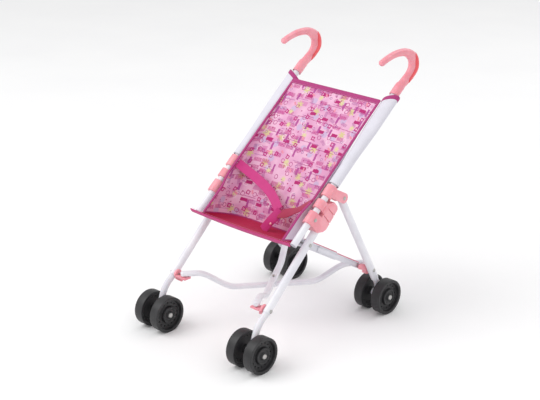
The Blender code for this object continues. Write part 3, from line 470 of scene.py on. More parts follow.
rose_plastic, rose_tree, rose_shader = new_material("rose_moulded_lining", Roughness=0.4, IOR=1.49)
dress_moulding(rose_tree, rose_shader, FLOW, ((0.38, "c4607a"), (0.6, "d8758c")), (0.34, 0.5),
               MOULD_SKIN)
for side, sign, body in SIDES:
    slide = Vector(joints[f"link_slide_{side}"]["axis"]).normalized()
    above = slide.cross(Vector((1.0, 0.0, 0.0)))
    above = above if above.z > 0 else -above
    outer = [Vector(v.co) for v in merged_copy(f"link_outer_{side}").verts]
    inner = [Vector(v.co) for v in merged_copy(f"link_inner_{side}").verts]
    runs = ((f"link_outer_{side}", outer, min(p.dot(slide) for p in outer) + LINING_START,
             max(p.dot(slide) for p in outer) - LINING_END),
            (f"link_inner_{side}", inner, max(p.dot(slide) for p in outer) + LINING_END,
             max(p.dot(slide) for p in inner) - LINING_START))
    for node, points, first, last in runs:
        top = max(p.dot(above) for p in points)
        centre = (min(p.x for p in points) + max(p.x for p in points)) / 2 + sign * LINING_OUT
        width = (max(p.x for p in points) - min(p.x for p in points)) * LINING_SHARE
        ends = [Vector((centre, 0.0, 0.0)) + slide * s + above * (top + LINING_THICK * 0.4)
                for s in np.linspace(first, last, 12)]
        lining = sweep(f"{node}_lining", ends, Vector((1, 0, 0)),
                       [oval(width, LINING_THICK, 20, 4.0)] * len(ends), rose_plastic, sharp=60)
        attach(lining, f"{side}_{node[:10]}")

# ---------------------------------------------------------------------------------------------
# Handle grips: cane hooks moulded in salmon pink, hollowed along both cheeks so that a rim runs
# round them, with a coral soft insert where the hand pushes. A screw holds each on its tube.
# ---------------------------------------------------------------------------------------------
COLLAR_RADIUS = 0.0099
STEM_RADIUS = 0.0086
TIP_RADIUS = 0.0068
COLLAR_DEPTH = 0.024
TUBE_END_ROOM = 0.001
CHEEK_HOLLOW = 0.0010
PAD_PROUD = 0.0006
PAD_FROM, PAD_TO = 0.36, 0.66     # share of the hook's run
PAD_SPREAD = math.radians(102)
GRIP_SIDES = 64
GRIP_STEPS = 16
BORE_ROOM = 0.0002
HOLLOW_FROM = 0.034           # the cheeks' hollows start this far along, past the collar
# Along the tube's axis from the collar's rim, behind that axis, and the grip's radius there.
STEM = [(0.0, 0.0, COLLAR_RADIUS), (0.012, 0.0, COLLAR_RADIUS), (0.0245, 0.0003, COLLAR_RADIUS),
        (0.030, 0.0014, STEM_RADIUS), (0.044, 0.0036, STEM_RADIUS), (0.0607, 0.0050, STEM_RADIUS)]
HOOK = [(0.0780, 0.0005, 0.0088), (0.0868, -0.0170, 0.0086), (0.0787, -0.0420, 0.0080),
        (0.0565, -0.0632, 0.0074), (0.0325, -0.0764, TIP_RADIUS), (0.0160, -0.0826, TIP_RADIUS)]


def distances(path):
    """How far along the path each of its points lies."""
    run = [0.0]
    for a, b in zip(path, path[1:]):
        run.append(run[-1] + (b - a).length)
    return run


def smooth_path(points, per_span):
    """Points along a smooth curve through the given places."""
    points = [Vector(p) for p in points]
    held = [points[0] * 2 - points[1]] + points + [points[-1] * 2 - points[-2]]
    path = []
    for i in range(1, len(held) - 2):
        p0, p1, p2, p3 = held[i - 1:i + 3]
        for k in range(per_span):
            u = k / per_span
            path.append(0.5 * (2 * p1 + (p2 - p0) * u + (2 * p0 - 5 * p1 + 4 * p2 - p3) * u ** 2
                               + (3 * p1 - p0 - 3 * p2 + p3) * u ** 3))
    path.append(points[-1])
    return path


# In-plane depth of the grip's section as a share of its width, at each of those places.
DEPTH = [1.0, 1.0, 1.0, 1.05, 1.12, 1.22, 1.50, 1.38, 1.04, 0.95, 0.95, 0.95]


def grip_section(radius, deep, hollow):
    """An oval section with shallow hollows in both cheeks."""
    corners = []
    for k in range(GRIP_SIDES):
        a = 2 * math.pi * k / GRIP_SIDES
        across, up = radius * math.cos(a), deep * math.sin(a)
        edge = min(max((0.56 * deep - abs(up)) / (0.07 * deep), 0.0), 1.0)
        across -= math.copysign(hollow * edge, across)
        corners.append((across, up))
    return corners


coral, coral_tree, coral_shader = new_material("coral_soft_insert", Roughness=0.42, IOR=1.5,
                                               Subsurface_Weight=0.1, Subsurface_Scale=0.003)
dress_moulding(coral_tree, coral_shader, FLOW, ((0.38, "e24b54"), (0.6, "ee5a60")), (0.36, 0.5),
               MOULD_SKIN)

for side, sign, body in SIDES:
    tube_low, tube_high, tube_radius = tube_line(f"handle_tube_{side}")
    up_tube = (tube_high - tube_low).normalized()
    behind = Vector((0.0, up_tube.z, -up_tube.y))
    collar_at = tube_high - up_tube * (COLLAR_DEPTH - TUBE_END_ROOM)
    marks = smooth_path([Vector(m) for m in STEM + HOOK], GRIP_STEPS)
    centres = [collar_at + up_tube * m.x + behind * m.y for m in marks]
    run = distances(centres)
    whole = run[-1]
    depths = [share.x * mark.z for share, mark in
              zip(smooth_path([Vector((share, 0.0, 0.0)) for share in DEPTH], GRIP_STEPS), marks)]
    sections = []
    for s, mark, deep in zip(run, marks, depths):
        into = (min(max((s - HOLLOW_FROM) / 0.004, 0.0), 1.0)
                * min(max((whole - s - 0.004) / 0.003, 0.0), 1.0))
        sections.append(grip_section(mark.z, deep, CHEEK_HOLLOW * into))
    tip = (centres[-1] - centres[-2]).normalized()
    for k in range(1, 9):
        a = math.pi / 2 * k / 8
        centres.append(centres[len(run) - 1] + tip * TIP_RADIUS * 0.8 * math.sin(a))
        radius = max(TIP_RADIUS * math.cos(a), 0.0002)
        sections.append(grip_section(radius, radius * DEPTH[-1], 0.0))
    grip = sweep(f"handle_grip_{side}_moulding", centres, Vector((1, 0, 0)), sections, pink_plastic)
    bore = turned("bore", [(0.0, COLLAR_DEPTH), (tube_radius + BORE_ROOM, COLLAR_DEPTH),
                           (tube_radius + BORE_ROOM, -0.01), (0.0, -0.01)], collar_at, up_tube, None,
                  steps=48, closed=False)
    hook_middle = collar_at + up_tube * 0.045 - behind * 0.030
    shape = bmesh.new()
    rings = []
    first, last = int(PAD_FROM * len(run)), int(PAD_TO * len(run))
    for i in range(first, last + 1):
        along = (centres[i + 1] - centres[i - 1]).normalized()
        outward = along.cross(Vector((1.0, 0.0, 0.0)))
        if outward.dot(centres[i] - hook_middle) < 0:
            outward = -outward
        place = (i - first) / (last - first)
        end = min(place, 1 - place)
        spread = PAD_SPREAD * (0.35 + 0.65 * min(end / 0.18, 1.0) ** 0.5)
        proud = PAD_PROUD * (min(end / 0.06, 1.0) * 1.6 - 0.6)
        angles = [spread * (2 * k / 20 - 1) for k in range(21)]
        skin = [(a, proud * (1 - 0.9 * abs(a / spread) ** 10)) for a in angles]
        skin += [(a, -0.0025) for a in reversed(angles)]
        level = Vector((1.0, 0.0, 0.0))
        rings.append([shape.verts.new(centres[i] + level * (marks[i].z + lift) * math.sin(a)
                                      + outward * (depths[i] + lift) * math.cos(a)) for a, lift in skin])
    skin_over(shape, rings)
    insert = finish_mesh(f"handle_grip_pad_{side}_insert", shape, coral, 50)
    cut = grip.modifiers.new("cut", "BOOLEAN")
    cut.object = bore
    cut.operation = "DIFFERENCE"
    grown(grip)
    bpy.data.objects.remove(bore, do_unlink=True)
    for piece, node, finish in ((grip, "handle_grip", "pink_plastic"),
                                (insert, "handle_grip_pad", "coral_insert")):
        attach(piece, body)
        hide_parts(f"{node}_{side}")

# ---------------------------------------------------------------------------------------------
# Wheels: eight one-piece wheels moulded in black polypropylene, with a rounded tread, a sunk disc
# with a ring of small holes, and a drum hub. Each turns freely on its steel axle.
# ---------------------------------------------------------------------------------------------
WHEEL_STEPS = 120
HOLE_COUNT = 16
HOLE_RADIUS = 0.0017
HOLE_RING = 0.0245
HUB_RADIUS = 0.0165

black_plastic, black_tree, black_shader = new_material("black_moulded_polypropylene", Roughness=0.45,
                                                       IOR=1.49)
dress_moulding(black_tree, black_shader, (60.0, 6.0, 0.0), ((0.4, "1d1d1f"), (0.75, "2e2d30")),
               (0.36, 0.56), (1400.0, 2.0, 0.2, 0.0001))


def set_inputs(modifier, **values):
    """Sets a Geometry Nodes modifier's named inputs by their sockets' identifiers."""
    for item in modifier.node_group.interface.items_tree:
        if item.item_type == "SOCKET" and item.in_out == "INPUT" and item.name in values:
            modifier[item.identifier] = values[item.name]


def new_tree(name, **sockets):
    """A Geometry Nodes tree with a geometry going in and out, and named inputs of given kinds."""
    tree = bpy.data.node_groups.new(name, "GeometryNodeTree")
    tree.interface.new_socket("Geometry", in_out="INPUT", socket_type="NodeSocketGeometry")
    tree.interface.new_socket("Geometry", in_out="OUTPUT", socket_type="NodeSocketGeometry")
    for label, kind in sockets.items():
        tree.interface.new_socket(label, in_out="INPUT", socket_type=f"NodeSocket{kind}")
    return tree, tree.nodes.new("NodeGroupInput").outputs, tree.nodes.new("NodeGroupOutput")


# A ring of drilled holes round the wheel's own +Z axis.
holes, holes_in, holes_out = new_tree("ring_of_holes", Count="Int", Ring="Float", Hole="Float",
                                      Depth="Float", Material="Material")
spots = add_node(holes, "GeometryNodeMeshCircle", {"Vertices": holes_in["Count"],
                                                   "Radius": holes_in["Ring"]})
drill = add_node(holes, "GeometryNodeMeshCylinder", {"Vertices": 20, "Radius": holes_in["Hole"],
                                                     "Depth": holes_in["Depth"]})
drills = add_node(holes, "GeometryNodeInstanceOnPoints", {"Points": spots.outputs["Mesh"],
                                                          "Instance": drill.outputs["Mesh"]})
drills = add_node(holes, "GeometryNodeRealizeInstances", {"Geometry": drills.outputs["Instances"]})
drilled = add_node(holes, "GeometryNodeMeshBoolean", {"Mesh 1": holes_in["Geometry"],
                                                      "Mesh 2": drills.outputs["Geometry"]},
                   operation="DIFFERENCE")
drilled = add_node(holes, "GeometryNodeRealizeInstances", {"Geometry": drilled.outputs["Mesh"]})
drilled = add_node(holes, "GeometryNodeSetMaterial", {"Geometry": drilled.outputs["Geometry"],
                                                      "Material": holes_in["Material"]})
holes.links.new(drilled.outputs["Geometry"], holes_out.inputs["Geometry"])

wheel_low, wheel_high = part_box("front_wheel_outer_left")
WHEEL_RADIUS = (wheel_high.z - wheel_low.z) / 2
WHEEL_WIDTH = wheel_high.x - wheel_low.x
rim_in = WHEEL_RADIUS * 0.84
disc_low, disc_high = 0.0085, WHEEL_WIDTH - 0.0075
section = filleted([(WHEEL_RADIUS, 0.0), (WHEEL_RADIUS, WHEEL_WIDTH), (rim_in, WHEEL_WIDTH),
                    (rim_in - 0.0012, disc_high), (HUB_RADIUS + 0.0012, disc_high),
                    (HUB_RADIUS, WHEEL_WIDTH - 0.0012), (HUB_RADIUS - 0.0030, WHEEL_WIDTH - 0.0012),
                    (HUB_RADIUS - 0.0042, WHEEL_WIDTH - 0.0034), (0.0078, WHEEL_WIDTH - 0.0034),
                    (0.0070, WHEEL_WIDTH), (0.0028, WHEEL_WIDTH), (0.0028, 0.0), (0.0080, 0.0),
                    (0.0090, disc_low - 0.001), (HUB_RADIUS, disc_low), (rim_in - 0.0012, disc_low),
                    (rim_in, 0.0)], 0.0013, steps=4)
blank = turned("wheel_blank", section, Vector((0, 0, 0)), (0, 0, 1), black_plastic, steps=WHEEL_STEPS)
ring = blank.modifiers.new("ring of holes", "NODES")
ring.node_group = holes
set_inputs(ring, Count=HOLE_COUNT, Ring=HOLE_RING, Hole=HOLE_RADIUS, Depth=0.06,
           Material=black_plastic)
wheel_mesh = grown(blank).data.copy()
bpy.data.objects.remove(blank, do_unlink=True)
wheel_mesh.shade_smooth()
wheel_mesh.set_sharp_from_angle(angle=math.radians(38))
for side, sign, body in SIDES:
    for end in ("front", "rear"):
        for face, out in (("outer", sign), ("inner", -sign)):
            node = f"{end}_wheel_{face}_{side}"
            low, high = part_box(node)
            hub = (low + high) / 2
            inside = Vector((low.x if out > 0 else high.x, hub.y, hub.z))
            mesh = wheel_mesh.copy()
            mesh.transform(Matrix.Translation(inside) @ Matrix.Rotation(out * math.pi / 2, 4, "Y"))
            wheel = add_object(f"{node}_moulding", mesh)
            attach(wheel, f"{node}_body")
            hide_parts(node)

# ---------------------------------------------------------------------------------------------
# Seat back and wings: one hammock of printed woven polyester. Its long edges run in front of the
# handle tubes, it sags behind them, and it ends at the crease and along the seat's two sides.
# ---------------------------------------------------------------------------------------------
CLOTH_THICK = 0.0011
EDGE_INBOARD = 0.0150         # hammock's edges inboard of the handle tubes
EDGE_FORWARD = 0.0092         # and in front of their axes
LOW_HALF_WIDTH = 0.1098       # half the hammock's width between the side links' front ends
LINKS_TO, LINKS_CLEAR = 0.062, 0.104
SLING_ROWS = 84
SLING_COLUMNS = 96
WRINKLE = 0.0016
WAVE_STEP = 6.283             # divides a wave texture's scale so that its bands lie a pitch apart
THREAD = 0.0011               # drawn at twice the real spacing of the yarns, so that it shows
HAND_WOBBLE = 0.0022          # how far a doodle's outline strays
STROKE_GAP = 0.0013
STAR_POINTS = 7.0
INK_BLEED = 0.0003

frame_low, frame_high, tube_radius = tube_line("handle_tube_left")
up_tube = (frame_high - frame_low).normalized()
behind_tube = Vector((0.0, up_tube.z, -up_tube.y))
half_track = abs(frame_low.x)
edge_x = half_track - EDGE_INBOARD
sling_low, sling_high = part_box("seat_sling")


def in_side(t, b, x=0.0):
    """A place t up the handle tube, b behind its axis and x across the stroller."""
    return Vector((x, frame_low.y, frame_low.z)) + up_tube * t + behind_tube * b


HEM_T = (sling_high.z - in_side(0.0, -EDGE_FORWARD).z) / up_tube.z
# Middle of the hammock from the hem down to the crease, up and behind the tubes.
SAG = [(HEM_T, -EDGE_FORWARD), (0.262, 0.001), (0.204, 0.012), (0.163, 0.024), (0.133, 0.032),
       (0.107, 0.041), (0.078, 0.052), (0.050, 0.068)]


def resampled(path, count):
    """The path with its points evenly spaced."""
    run = distances(path)
    places = np.array([list(p) for p in path])
    marks = np.linspace(0.0, run[-1], count + 1)
    return [Vector([float(np.interp(m, run, places[:, k])) for k in range(3)]) for m in marks]


def half_width(t):
    """Half the hammock's width at t up the tubes; it is narrower low down, clear of the side links."""
    rise = min(max((t - LINKS_TO) / (LINKS_CLEAR - LINKS_TO), 0.0), 1.0)
    return LOW_HALF_WIDTH + (edge_x - LOW_HALF_WIDTH) * rise * rise * (3 - 2 * rise)


def sling_row(edge, mid, half, power=4.5):
    """Places across the hammock at one height, evenly spaced along its section, and their distances."""
    fine = []
    for k in range(241):
        a = math.pi * k / 240
        across = math.copysign(abs(math.cos(a)) ** (2 / power), -math.cos(a))
        depth = abs(math.sin(a)) ** (2 / power)
        place = edge.lerp(mid, depth)
        fine.append(Vector((across * half, place.y, place.z)))
    even = resampled(fine, SLING_COLUMNS)
    run = distances(even)
    return even, [r - run[-1] / 2 for r in run]


sag_line = resampled(smooth_path([in_side(t, b) for t, b in SAG], 12), SLING_ROWS)
edge_line = [in_side(HEM_T * (1 - i / SLING_ROWS), -EDGE_FORWARD) for i in range(SLING_ROWS + 1)]
sling_grid = []
sling_uv = []
fallen = 0.0
for i, (edge, mid) in enumerate(zip(edge_line, sag_line)):
    places, offsets = sling_row(edge, mid, half_width(HEM_T * (1 - i / SLING_ROWS)))
    if i:
        fallen += (mid - sag_line[i - 1]).length
    slack = math.sin(math.pi * min(i / SLING_ROWS * 1.15, 1.0)) ** 0.7
    row = []
    for j, place in enumerate(places):
        s = 2 * j / SLING_COLUMNS - 1
        held = 1 - abs(s) ** 6
        crease = mnoise.noise(Vector((offsets[j] * 11 + 3.1, fallen * 26, 0.4)))
        pull = mnoise.noise(Vector((offsets[j] * 34, fallen * 13 + 7.7, 2.9)))
        row.append(place + behind_tube * (WRINKLE * held * slack * (crease + 0.55 * pull)))
    sling_grid.append(row)
    sling_uv.append([(u, -fallen) for u in offsets])


def cloth(name, grid, uv, materials, thick=CLOTH_THICK):
    """A sheet of cloth from a grid of places, with its right side, its reverse and its raw edge."""
    mesh = bpy.data.meshes.new(name)
    rows, columns = len(grid), len(grid[0])
    faces = [(i * columns + j, i * columns + j + 1, (i + 1) * columns + j + 1, (i + 1) * columns + j)
             for i in range(rows - 1) for j in range(columns - 1)]
    mesh.from_pydata([p for row in grid for p in row], [], faces)
    flat = [place for row in uv for place in row]
    layer = mesh.uv_layers.new(name="cloth")
    for loop in mesh.loops:
        layer.data[loop.index].uv = flat[loop.vertex_index]
    made = add_object(name, mesh)
    for material in materials:
        mesh.materials.append(material)
    wall = made.modifiers.new("thickness", "SOLIDIFY")
    wall.thickness = thick
    wall.offset = 0.0
    wall.material_offset = min(1, len(materials) - 1)
    wall.material_offset_rim = len(materials) - 1
    grown(made)
    made.data.shade_smooth()
    return made


def dress_weave(tree, shader, colour, thread, strength):
    """Woven cloth: the colour, darkened a little between the yarns, and a bump from the weave."""
    at = add_node(tree, "ShaderNodeUVMap", uv_map="cloth").outputs["UV"]
    warp = add_node(tree, "ShaderNodeTexWave", {"Vector": at, "Scale": 1 / thread / WAVE_STEP * 2,
                                                "Distortion": 0.4, "Detail": 1.0})
    weft = add_node(tree, "ShaderNodeTexWave", {"Vector": at, "Scale": 1 / thread / WAVE_STEP * 2,
                                                "Distortion": 0.4, "Detail": 1.0},
                    bands_direction="Y")
    weave = add_node(tree, "ShaderNodeMath", {0: warp.outputs["Fac"], 1: weft.outputs["Fac"]},
                     operation="MULTIPLY")
    soft = add_node(tree, "ShaderNodeTexNoise", {"Vector": at, "Scale": 30.0, "Detail": 4.0})
    lift = add_node(tree, "ShaderNodeMapRange", {"Value": soft.outputs["Fac"], "To Min": 0.9,
                                                 "To Max": 1.06})
    yarn = add_node(tree, "ShaderNodeMapRange", {"Value": weave.outputs["Value"], "To Min": 0.9,
                                                 "To Max": 1.03})
    value = add_node(tree, "ShaderNodeMath", {0: lift.outputs["Result"], 1: yarn.outputs["Result"]},
                     operation="MULTIPLY")
    mixed = add_node(tree, "ShaderNodeVectorMath", {0: colour, "Scale": value.outputs["Value"]},
                     operation="SCALE")
    tree.links.new(mixed.outputs["Vector"], shader.inputs["Base Color"])
    bump = add_node(tree, "ShaderNodeBump", {"Height": weave.outputs["Value"], "Strength": strength,
                                             "Distance": 0.0003})
    tree.links.new(bump.outputs["Normal"], shader.inputs["Normal"])


def stamp(tree, ground, at, spacing, shift, share, motif, size, line, colour, jitter=0.5, turns=0.0):
    """One doodle repeated over the cloth: it shows in a share of the cells of a loose lattice."""
    moved = add_node(tree, "ShaderNodeVectorMath", {0: at, 1: (shift, shift * 1.7, 0.0)})
    cell = add_node(tree, "ShaderNodeTexVoronoi", {"Vector": moved.outputs["Vector"],
                                                   "Scale": 1 / spacing, "Randomness": jitter},
                    voronoi_dimensions="2D")
    local = add_node(tree, "ShaderNodeVectorMath", {0: moved.outputs["Vector"],
                                                    1: cell.outputs["Position"]},
                     operation="SUBTRACT")
    chance = add_node(tree, "ShaderNodeSeparateColor", {"Color": cell.outputs["Color"]})
    turn = add_node(tree, "ShaderNodeMath", {0: chance.outputs["Green"], 1: turns},
                    operation="MULTIPLY")
    local = add_node(tree, "ShaderNodeVectorRotate", {"Vector": local.outputs["Vector"],
                                                      "Angle": turn.outputs["Value"]},
                     rotation_type="Z_AXIS")
    parts = add_node(tree, "ShaderNodeSeparateXYZ", {"Vector": local.outputs["Vector"]})
    across = add_node(tree, "ShaderNodeMath", {0: parts.outputs["X"]}, operation="ABSOLUTE")
    upward = add_node(tree, "ShaderNodeMath", {0: parts.outputs["Y"]}, operation="ABSOLUTE")
    reach = add_node(tree, "ShaderNodeVectorMath", {0: local.outputs["Vector"]}, operation="LENGTH")
    wide, tall = {"bar": (size, size * 0.45),
                  "rule": (size, 0.0),
                  "post": (size * 0.3, size)}.get(motif, (size, size * 0.4))
    block = (("ends", "SUBTRACT", "across", wide),
             ("edge", "SUBTRACT", "upward", tall),
             ("edge", "MAXIMUM", "ends", "edge"))
    # What each motif works out, in order: the result's name, the operation and what it takes.
    steps = {"disc": (("edge", "SUBTRACT", "reach", size),),
             "ring": (("edge", "SUBTRACT", "reach", size),
                      ("edge", "ABSOLUTE", "edge")),
             "frame": (("edge", "MAXIMUM", "across", "upward"),
                       ("edge", "SUBTRACT", "edge", size),
                       ("edge", "ABSOLUTE", "edge")),
             "strokes": block + (("comb", "PINGPONG", "x", STROKE_GAP),
                                 ("edge", "MAXIMUM", "edge", "comb")),
             "star": (("lobes", "ARCTAN2", "y", "x"),
                      ("lobes", "MULTIPLY", "lobes", STAR_POINTS),
                      ("lobes", "COSINE", "lobes"),
                      ("lobes", "MULTIPLY_ADD", "lobes", size * 0.28, size * 0.7),
                      ("edge", "SUBTRACT", "reach", "lobes"))}.get(motif, block)
    known = {"x": parts.outputs["X"], "y": parts.outputs["Y"], "across": across.outputs["Value"],
             "upward": upward.outputs["Value"], "reach": reach.outputs["Value"]}
    for result, operation, *terms in steps:
        taken = {i: known.get(term, term) for i, term in enumerate(terms)}
        known[result] = add_node(tree, "ShaderNodeMath", taken, operation=operation).outputs["Value"]
    ink = add_node(tree, "ShaderNodeMapRange", {"Value": known["edge"], "From Min": line,
                                                "From Max": line + INK_BLEED, "To Min": 1.0,
                                                "To Max": 0.0})
    seen = add_node(tree, "ShaderNodeMath", {0: chance.outputs["Red"], 1: share},
                    operation="LESS_THAN")
    ink = add_node(tree, "ShaderNodeMath", {0: ink.outputs["Result"], 1: seen.outputs["Value"]},
                   operation="MULTIPLY")
    laid = add_node(tree, "ShaderNodeMix", {0: ink.outputs["Value"], 6: ground, 7: linear(colour)},
                    data_type="RGBA")
    return laid.outputs[2]


# The print is a pale pink ground with small screen-printed doodles in magenta, mauve, lilac and
# yellow-green. The doodles are 5 to 18 mm across and lie in loose rows.
printed, print_tree, print_shader = new_material("printed_woven_polyester", Roughness=0.82,
                                                 Sheen_Weight=0.12, Sheen_Roughness=0.5,
                                                 Specular_IOR_Level=0.35)
print_at = add_node(print_tree, "ShaderNodeUVMap", uv_map="cloth").outputs["UV"]
wash = add_node(print_tree, "ShaderNodeTexNoise", {"Vector": print_at, "Scale": 26.0, "Detail": 2.0})
wobble = add_node(print_tree, "ShaderNodeTexNoise", {"Vector": print_at, "Scale": 240.0, "Detail": 1.0})
wobble = add_node(print_tree, "ShaderNodeVectorMath", {0: wobble.outputs["Color"], 1: (0.5, 0.5, 0.5)},
                  operation="SUBTRACT")
drawn_at = add_node(print_tree, "ShaderNodeVectorMath", {0: wobble.outputs["Vector"],
                                                         1: (HAND_WOBBLE,) * 3, 2: print_at},
                    operation="MULTIPLY_ADD").outputs["Vector"]
ground = add_node(print_tree, "ShaderNodeValToRGB", {"Fac": wash.outputs["Fac"]})
ground.color_ramp.elements[0].position = 0.40
ground.color_ramp.elements[0].color = linear("e5a5cb")
ground.color_ramp.elements[1].position = 0.60
ground.color_ramp.elements[1].color = linear("f1bfda")
inked = ground.outputs["Color"]
# Spacing, shift, share of cells, motif, size, line width, colour, jitter and turns of each doodle.
DOODLES = [(0.034, 0.011, 0.60, "disc", 0.0070, 0.0, "d3b6d8", 0.7, 0.0),
           (0.041, 0.153, 0.55, "bar", 0.0115, 0.0, "dd8fbd", 0.6, 0.0),
           (0.047, 0.317, 0.75, "star", 0.0095, 0.0, "dccb96", 0.7, 6.0),
           (0.040, 0.713, 0.60, "ring", 0.0052, 0.0005, "f7dcea", 0.7, 0.0),
           (0.033, 0.631, 0.60, "rule", 0.0150, 0.0004, "b565a3", 0.5, 0.0),
           (0.047, 0.277, 0.70, "rule", 0.0230, 0.0004, "b3407f", 0.4, 0.0),
           (0.022, 0.541, 0.55, "strokes", 0.0085, 0.0006, "c43787", 0.4, 0.0),
           (0.026, 0.823, 0.55, "strokes", 0.0070, 0.0005, "b2619f", 0.5, 1.57),
           (0.031, 0.419, 0.70, "ring", 0.0042, 0.0005, "b93a85", 0.6, 0.0),
           (0.027, 0.731, 0.40, "ring", 0.0026, 0.0004, "a86aa6", 0.6, 0.0),
           (0.031, 0.927, 0.60, "frame", 0.0032, 0.0010, "c22f80", 0.5, 0.3),
           (0.037, 0.391, 0.55, "bar", 0.0075, 0.0, "bb2474", 0.5, 0.0),
           (0.031, 0.209, 0.50, "post", 0.0080, 0.0, "b8509a", 0.5, 0.0),
           (0.016, 0.467, 0.40, "disc", 0.0013, 0.0, "b02c74", 0.8, 0.0),
           (0.051, 0.587, 0.60, "star", 0.0066, 0.0, "e3d6a4", 0.6, 4.0),
           (0.035, 0.677, 0.40, "bar", 0.0042, 0.0, "ec93ab", 0.6, 1.57)]
for spacing, shift, share, motif, size, line, colour, jitter, turns in DOODLES:
    inked = stamp(print_tree, inked, drawn_at, spacing, shift, share, motif, size, line, colour,
                  jitter, turns)
dress_weave(print_tree, print_shader, inked, THREAD, 0.25)

reverse, reverse_tree, reverse_shader = new_material("reverse_of_printed_polyester", Roughness=0.85,
                                                     Sheen_Weight=0.1, Specular_IOR_Level=0.3)
dress_weave(reverse_tree, reverse_shader, linear("e3d3e4")[:3], THREAD, 0.25)
tape, tape_tree, tape_shader = new_material("magenta_binding_tape", Roughness=0.7, Sheen_Weight=0.1,
                                            Specular_IOR_Level=0.4)


def dress_rib(tree, shader, light, deep, pitch, axis):
    """Narrow woven tape or webbing: ribs across it, and slightly faded high places."""
    at = add_node(tree, "ShaderNodeTexCoord").outputs["Object"]
    ribs = add_node(tree, "ShaderNodeTexWave", {"Vector": at, "Scale": 1 / pitch / WAVE_STEP * 2,
                                                "Distortion": 0.3, "Detail": 1.0},
                    bands_direction=axis)
    worn = add_node(tree, "ShaderNodeTexNoise", {"Vector": at, "Scale": 45.0, "Detail": 4.0})
    both = add_node(tree, "ShaderNodeMath", {0: ribs.outputs["Fac"], 1: worn.outputs["Fac"]},
                    operation="MULTIPLY")
    tint = add_node(tree, "ShaderNodeValToRGB", {"Fac": both.outputs["Value"]})
    tint.color_ramp.elements[0].position = 0.05
    tint.color_ramp.elements[0].color = linear(deep)
    tint.color_ramp.elements[1].position = 0.5
    tint.color_ramp.elements[1].color = linear(light)
    tree.links.new(tint.outputs["Color"], shader.inputs["Base Color"])
    bump = add_node(tree, "ShaderNodeBump", {"Height": ribs.outputs["Fac"], "Strength": 0.35,
                                             "Distance": 0.0003})
    tree.links.new(bump.outputs["Normal"], shader.inputs["Normal"])


dress_rib(tape_tree, tape_shader, "b83c82", "a02e6e", 0.0014, "X")


def gathers(piece):
    """The piece goes with the left side frame, with a mesh of its own."""
    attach(piece, "left_frame")
    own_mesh(piece)


sling = cloth("seat_hammock", sling_grid, sling_uv, [reverse, printed, tape])
gathers(sling)
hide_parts("seat_sling")

# ---------------------------------------------------------------------------------------------
# Seat panel: plain crimson polyester, sewn to the hammock at the crease and along both sides, and
# stretched forward to the front edge between the low ends of the handle tubes.
# ---------------------------------------------------------------------------------------------
SEAT_ROWS = 30
FRONT_SAG = 0.0035
FRONT_REACH = 0.0040          # front edge past the tubes' middles

crimson, crimson_tree, crimson_shader = new_material("crimson_woven_polyester", Roughness=0.7,
                                                     Sheen_Weight=0.04, Specular_IOR_Level=0.35)
dress_weave(crimson_tree, crimson_shader, linear("b80744")[:3], THREAD, 0.3)
front_y = sling_low.y
front_z = in_side(0.0, 0.0).z + 0.0075
crease_row = sling_grid[-1]
front_row = []
for j in range(SLING_COLUMNS + 1):
    s = 2 * j / SLING_COLUMNS - 1
    front_row.append(Vector((s * (half_track + FRONT_REACH), front_y - 0.002,
                             front_z - FRONT_SAG * (1 - s * s))))
seat_grid = []
seat_uv = []
for i in range(SEAT_ROWS + 1):
    w = i / SEAT_ROWS
    row = []
    for j, (back, front) in enumerate(zip(crease_row, front_row)):
        s = 2 * j / SLING_COLUMNS - 1
        bag = 0.007 * math.sin(math.pi * w) * (1 - s ** 4)
        rumple = 0.0011 * mnoise.noise(Vector((s * 3.1, w * 2.2, 5.5)))
        place = back.lerp(front, w) - Vector((0.0, 0.0, bag - rumple))
        place.x = back.x + (front.x - back.x) * w ** 4
        row.append(place)
    seat_grid.append(row)
    seat_uv.append([(p.x, -w * (front_row[0] - crease_row[SLING_COLUMNS // 2]).length) for p in row])
seat = cloth("seat_panel", seat_grid, seat_uv, [crimson])
gathers(seat)

# ---------------------------------------------------------------------------------------------
# Bindings: tape over the hem, down both long edges, along the crease seam and the front edge, with
# a row of lockstitches at the hem and the front edge. The front edge's tape is of another pink.
# ---------------------------------------------------------------------------------------------
HEM_HIGH = 0.0115
PIPING = 0.0052
FRONT_TAPE = 0.0105
STITCH_PITCH = 0.0032

pink_tape, pink_tape_tree, pink_tape_shader = new_material("rose_binding_tape", Roughness=0.65,
                                                           Sheen_Weight=0.1, Specular_IOR_Level=0.4)
dress_rib(pink_tape_tree, pink_tape_shader, "c93a80", "b02c6d", 0.0014, "X")


def tape_along(name, centres, side_ways, width, thick, material):
    """Folded tape along an edge, with a soft oval section."""
    section = oval(width, thick, 20, 3.0)
    return sweep(name, centres, side_ways, [section] * len(centres), material, sharp=60)


hem_line = [in_side(HEM_T - HEM_HIGH * 0.35, -EDGE_FORWARD, -edge_x + 2 * edge_x * k / 60)
            for k in range(61)]
hem = tape_along("hem_binding", hem_line, up_tube, HEM_HIGH, 0.0026, tape)
front_tape_line = [p + Vector((0.0, -0.001, 0.0)) for p in resampled(front_row, 60)]
front_tape = tape_along("front_edge_binding", front_tape_line,
                        Vector((0.0, 0.55, -0.83)).normalized(), FRONT_TAPE, 0.0030, pink_tape)
pipings = []
for side, sign, body in SIDES:
    line = [in_side(t, -EDGE_FORWARD, sign * half_width(t)) for t in np.linspace(HEM_T, 0.0, 61)]
    pipings.append(tape_along(f"edge_binding_{side}", line, Vector((1, 0, 0)), PIPING, 0.0030, tape))
seam_line = [p + Vector((0.0, 0.0, 0.0008)) for p in resampled(crease_row, 80)]
seam = tape_along("crease_seam_binding", seam_line, Vector((0.0, 0.6, 0.8)).normalized(), 0.0030,
                  0.0022, tape)
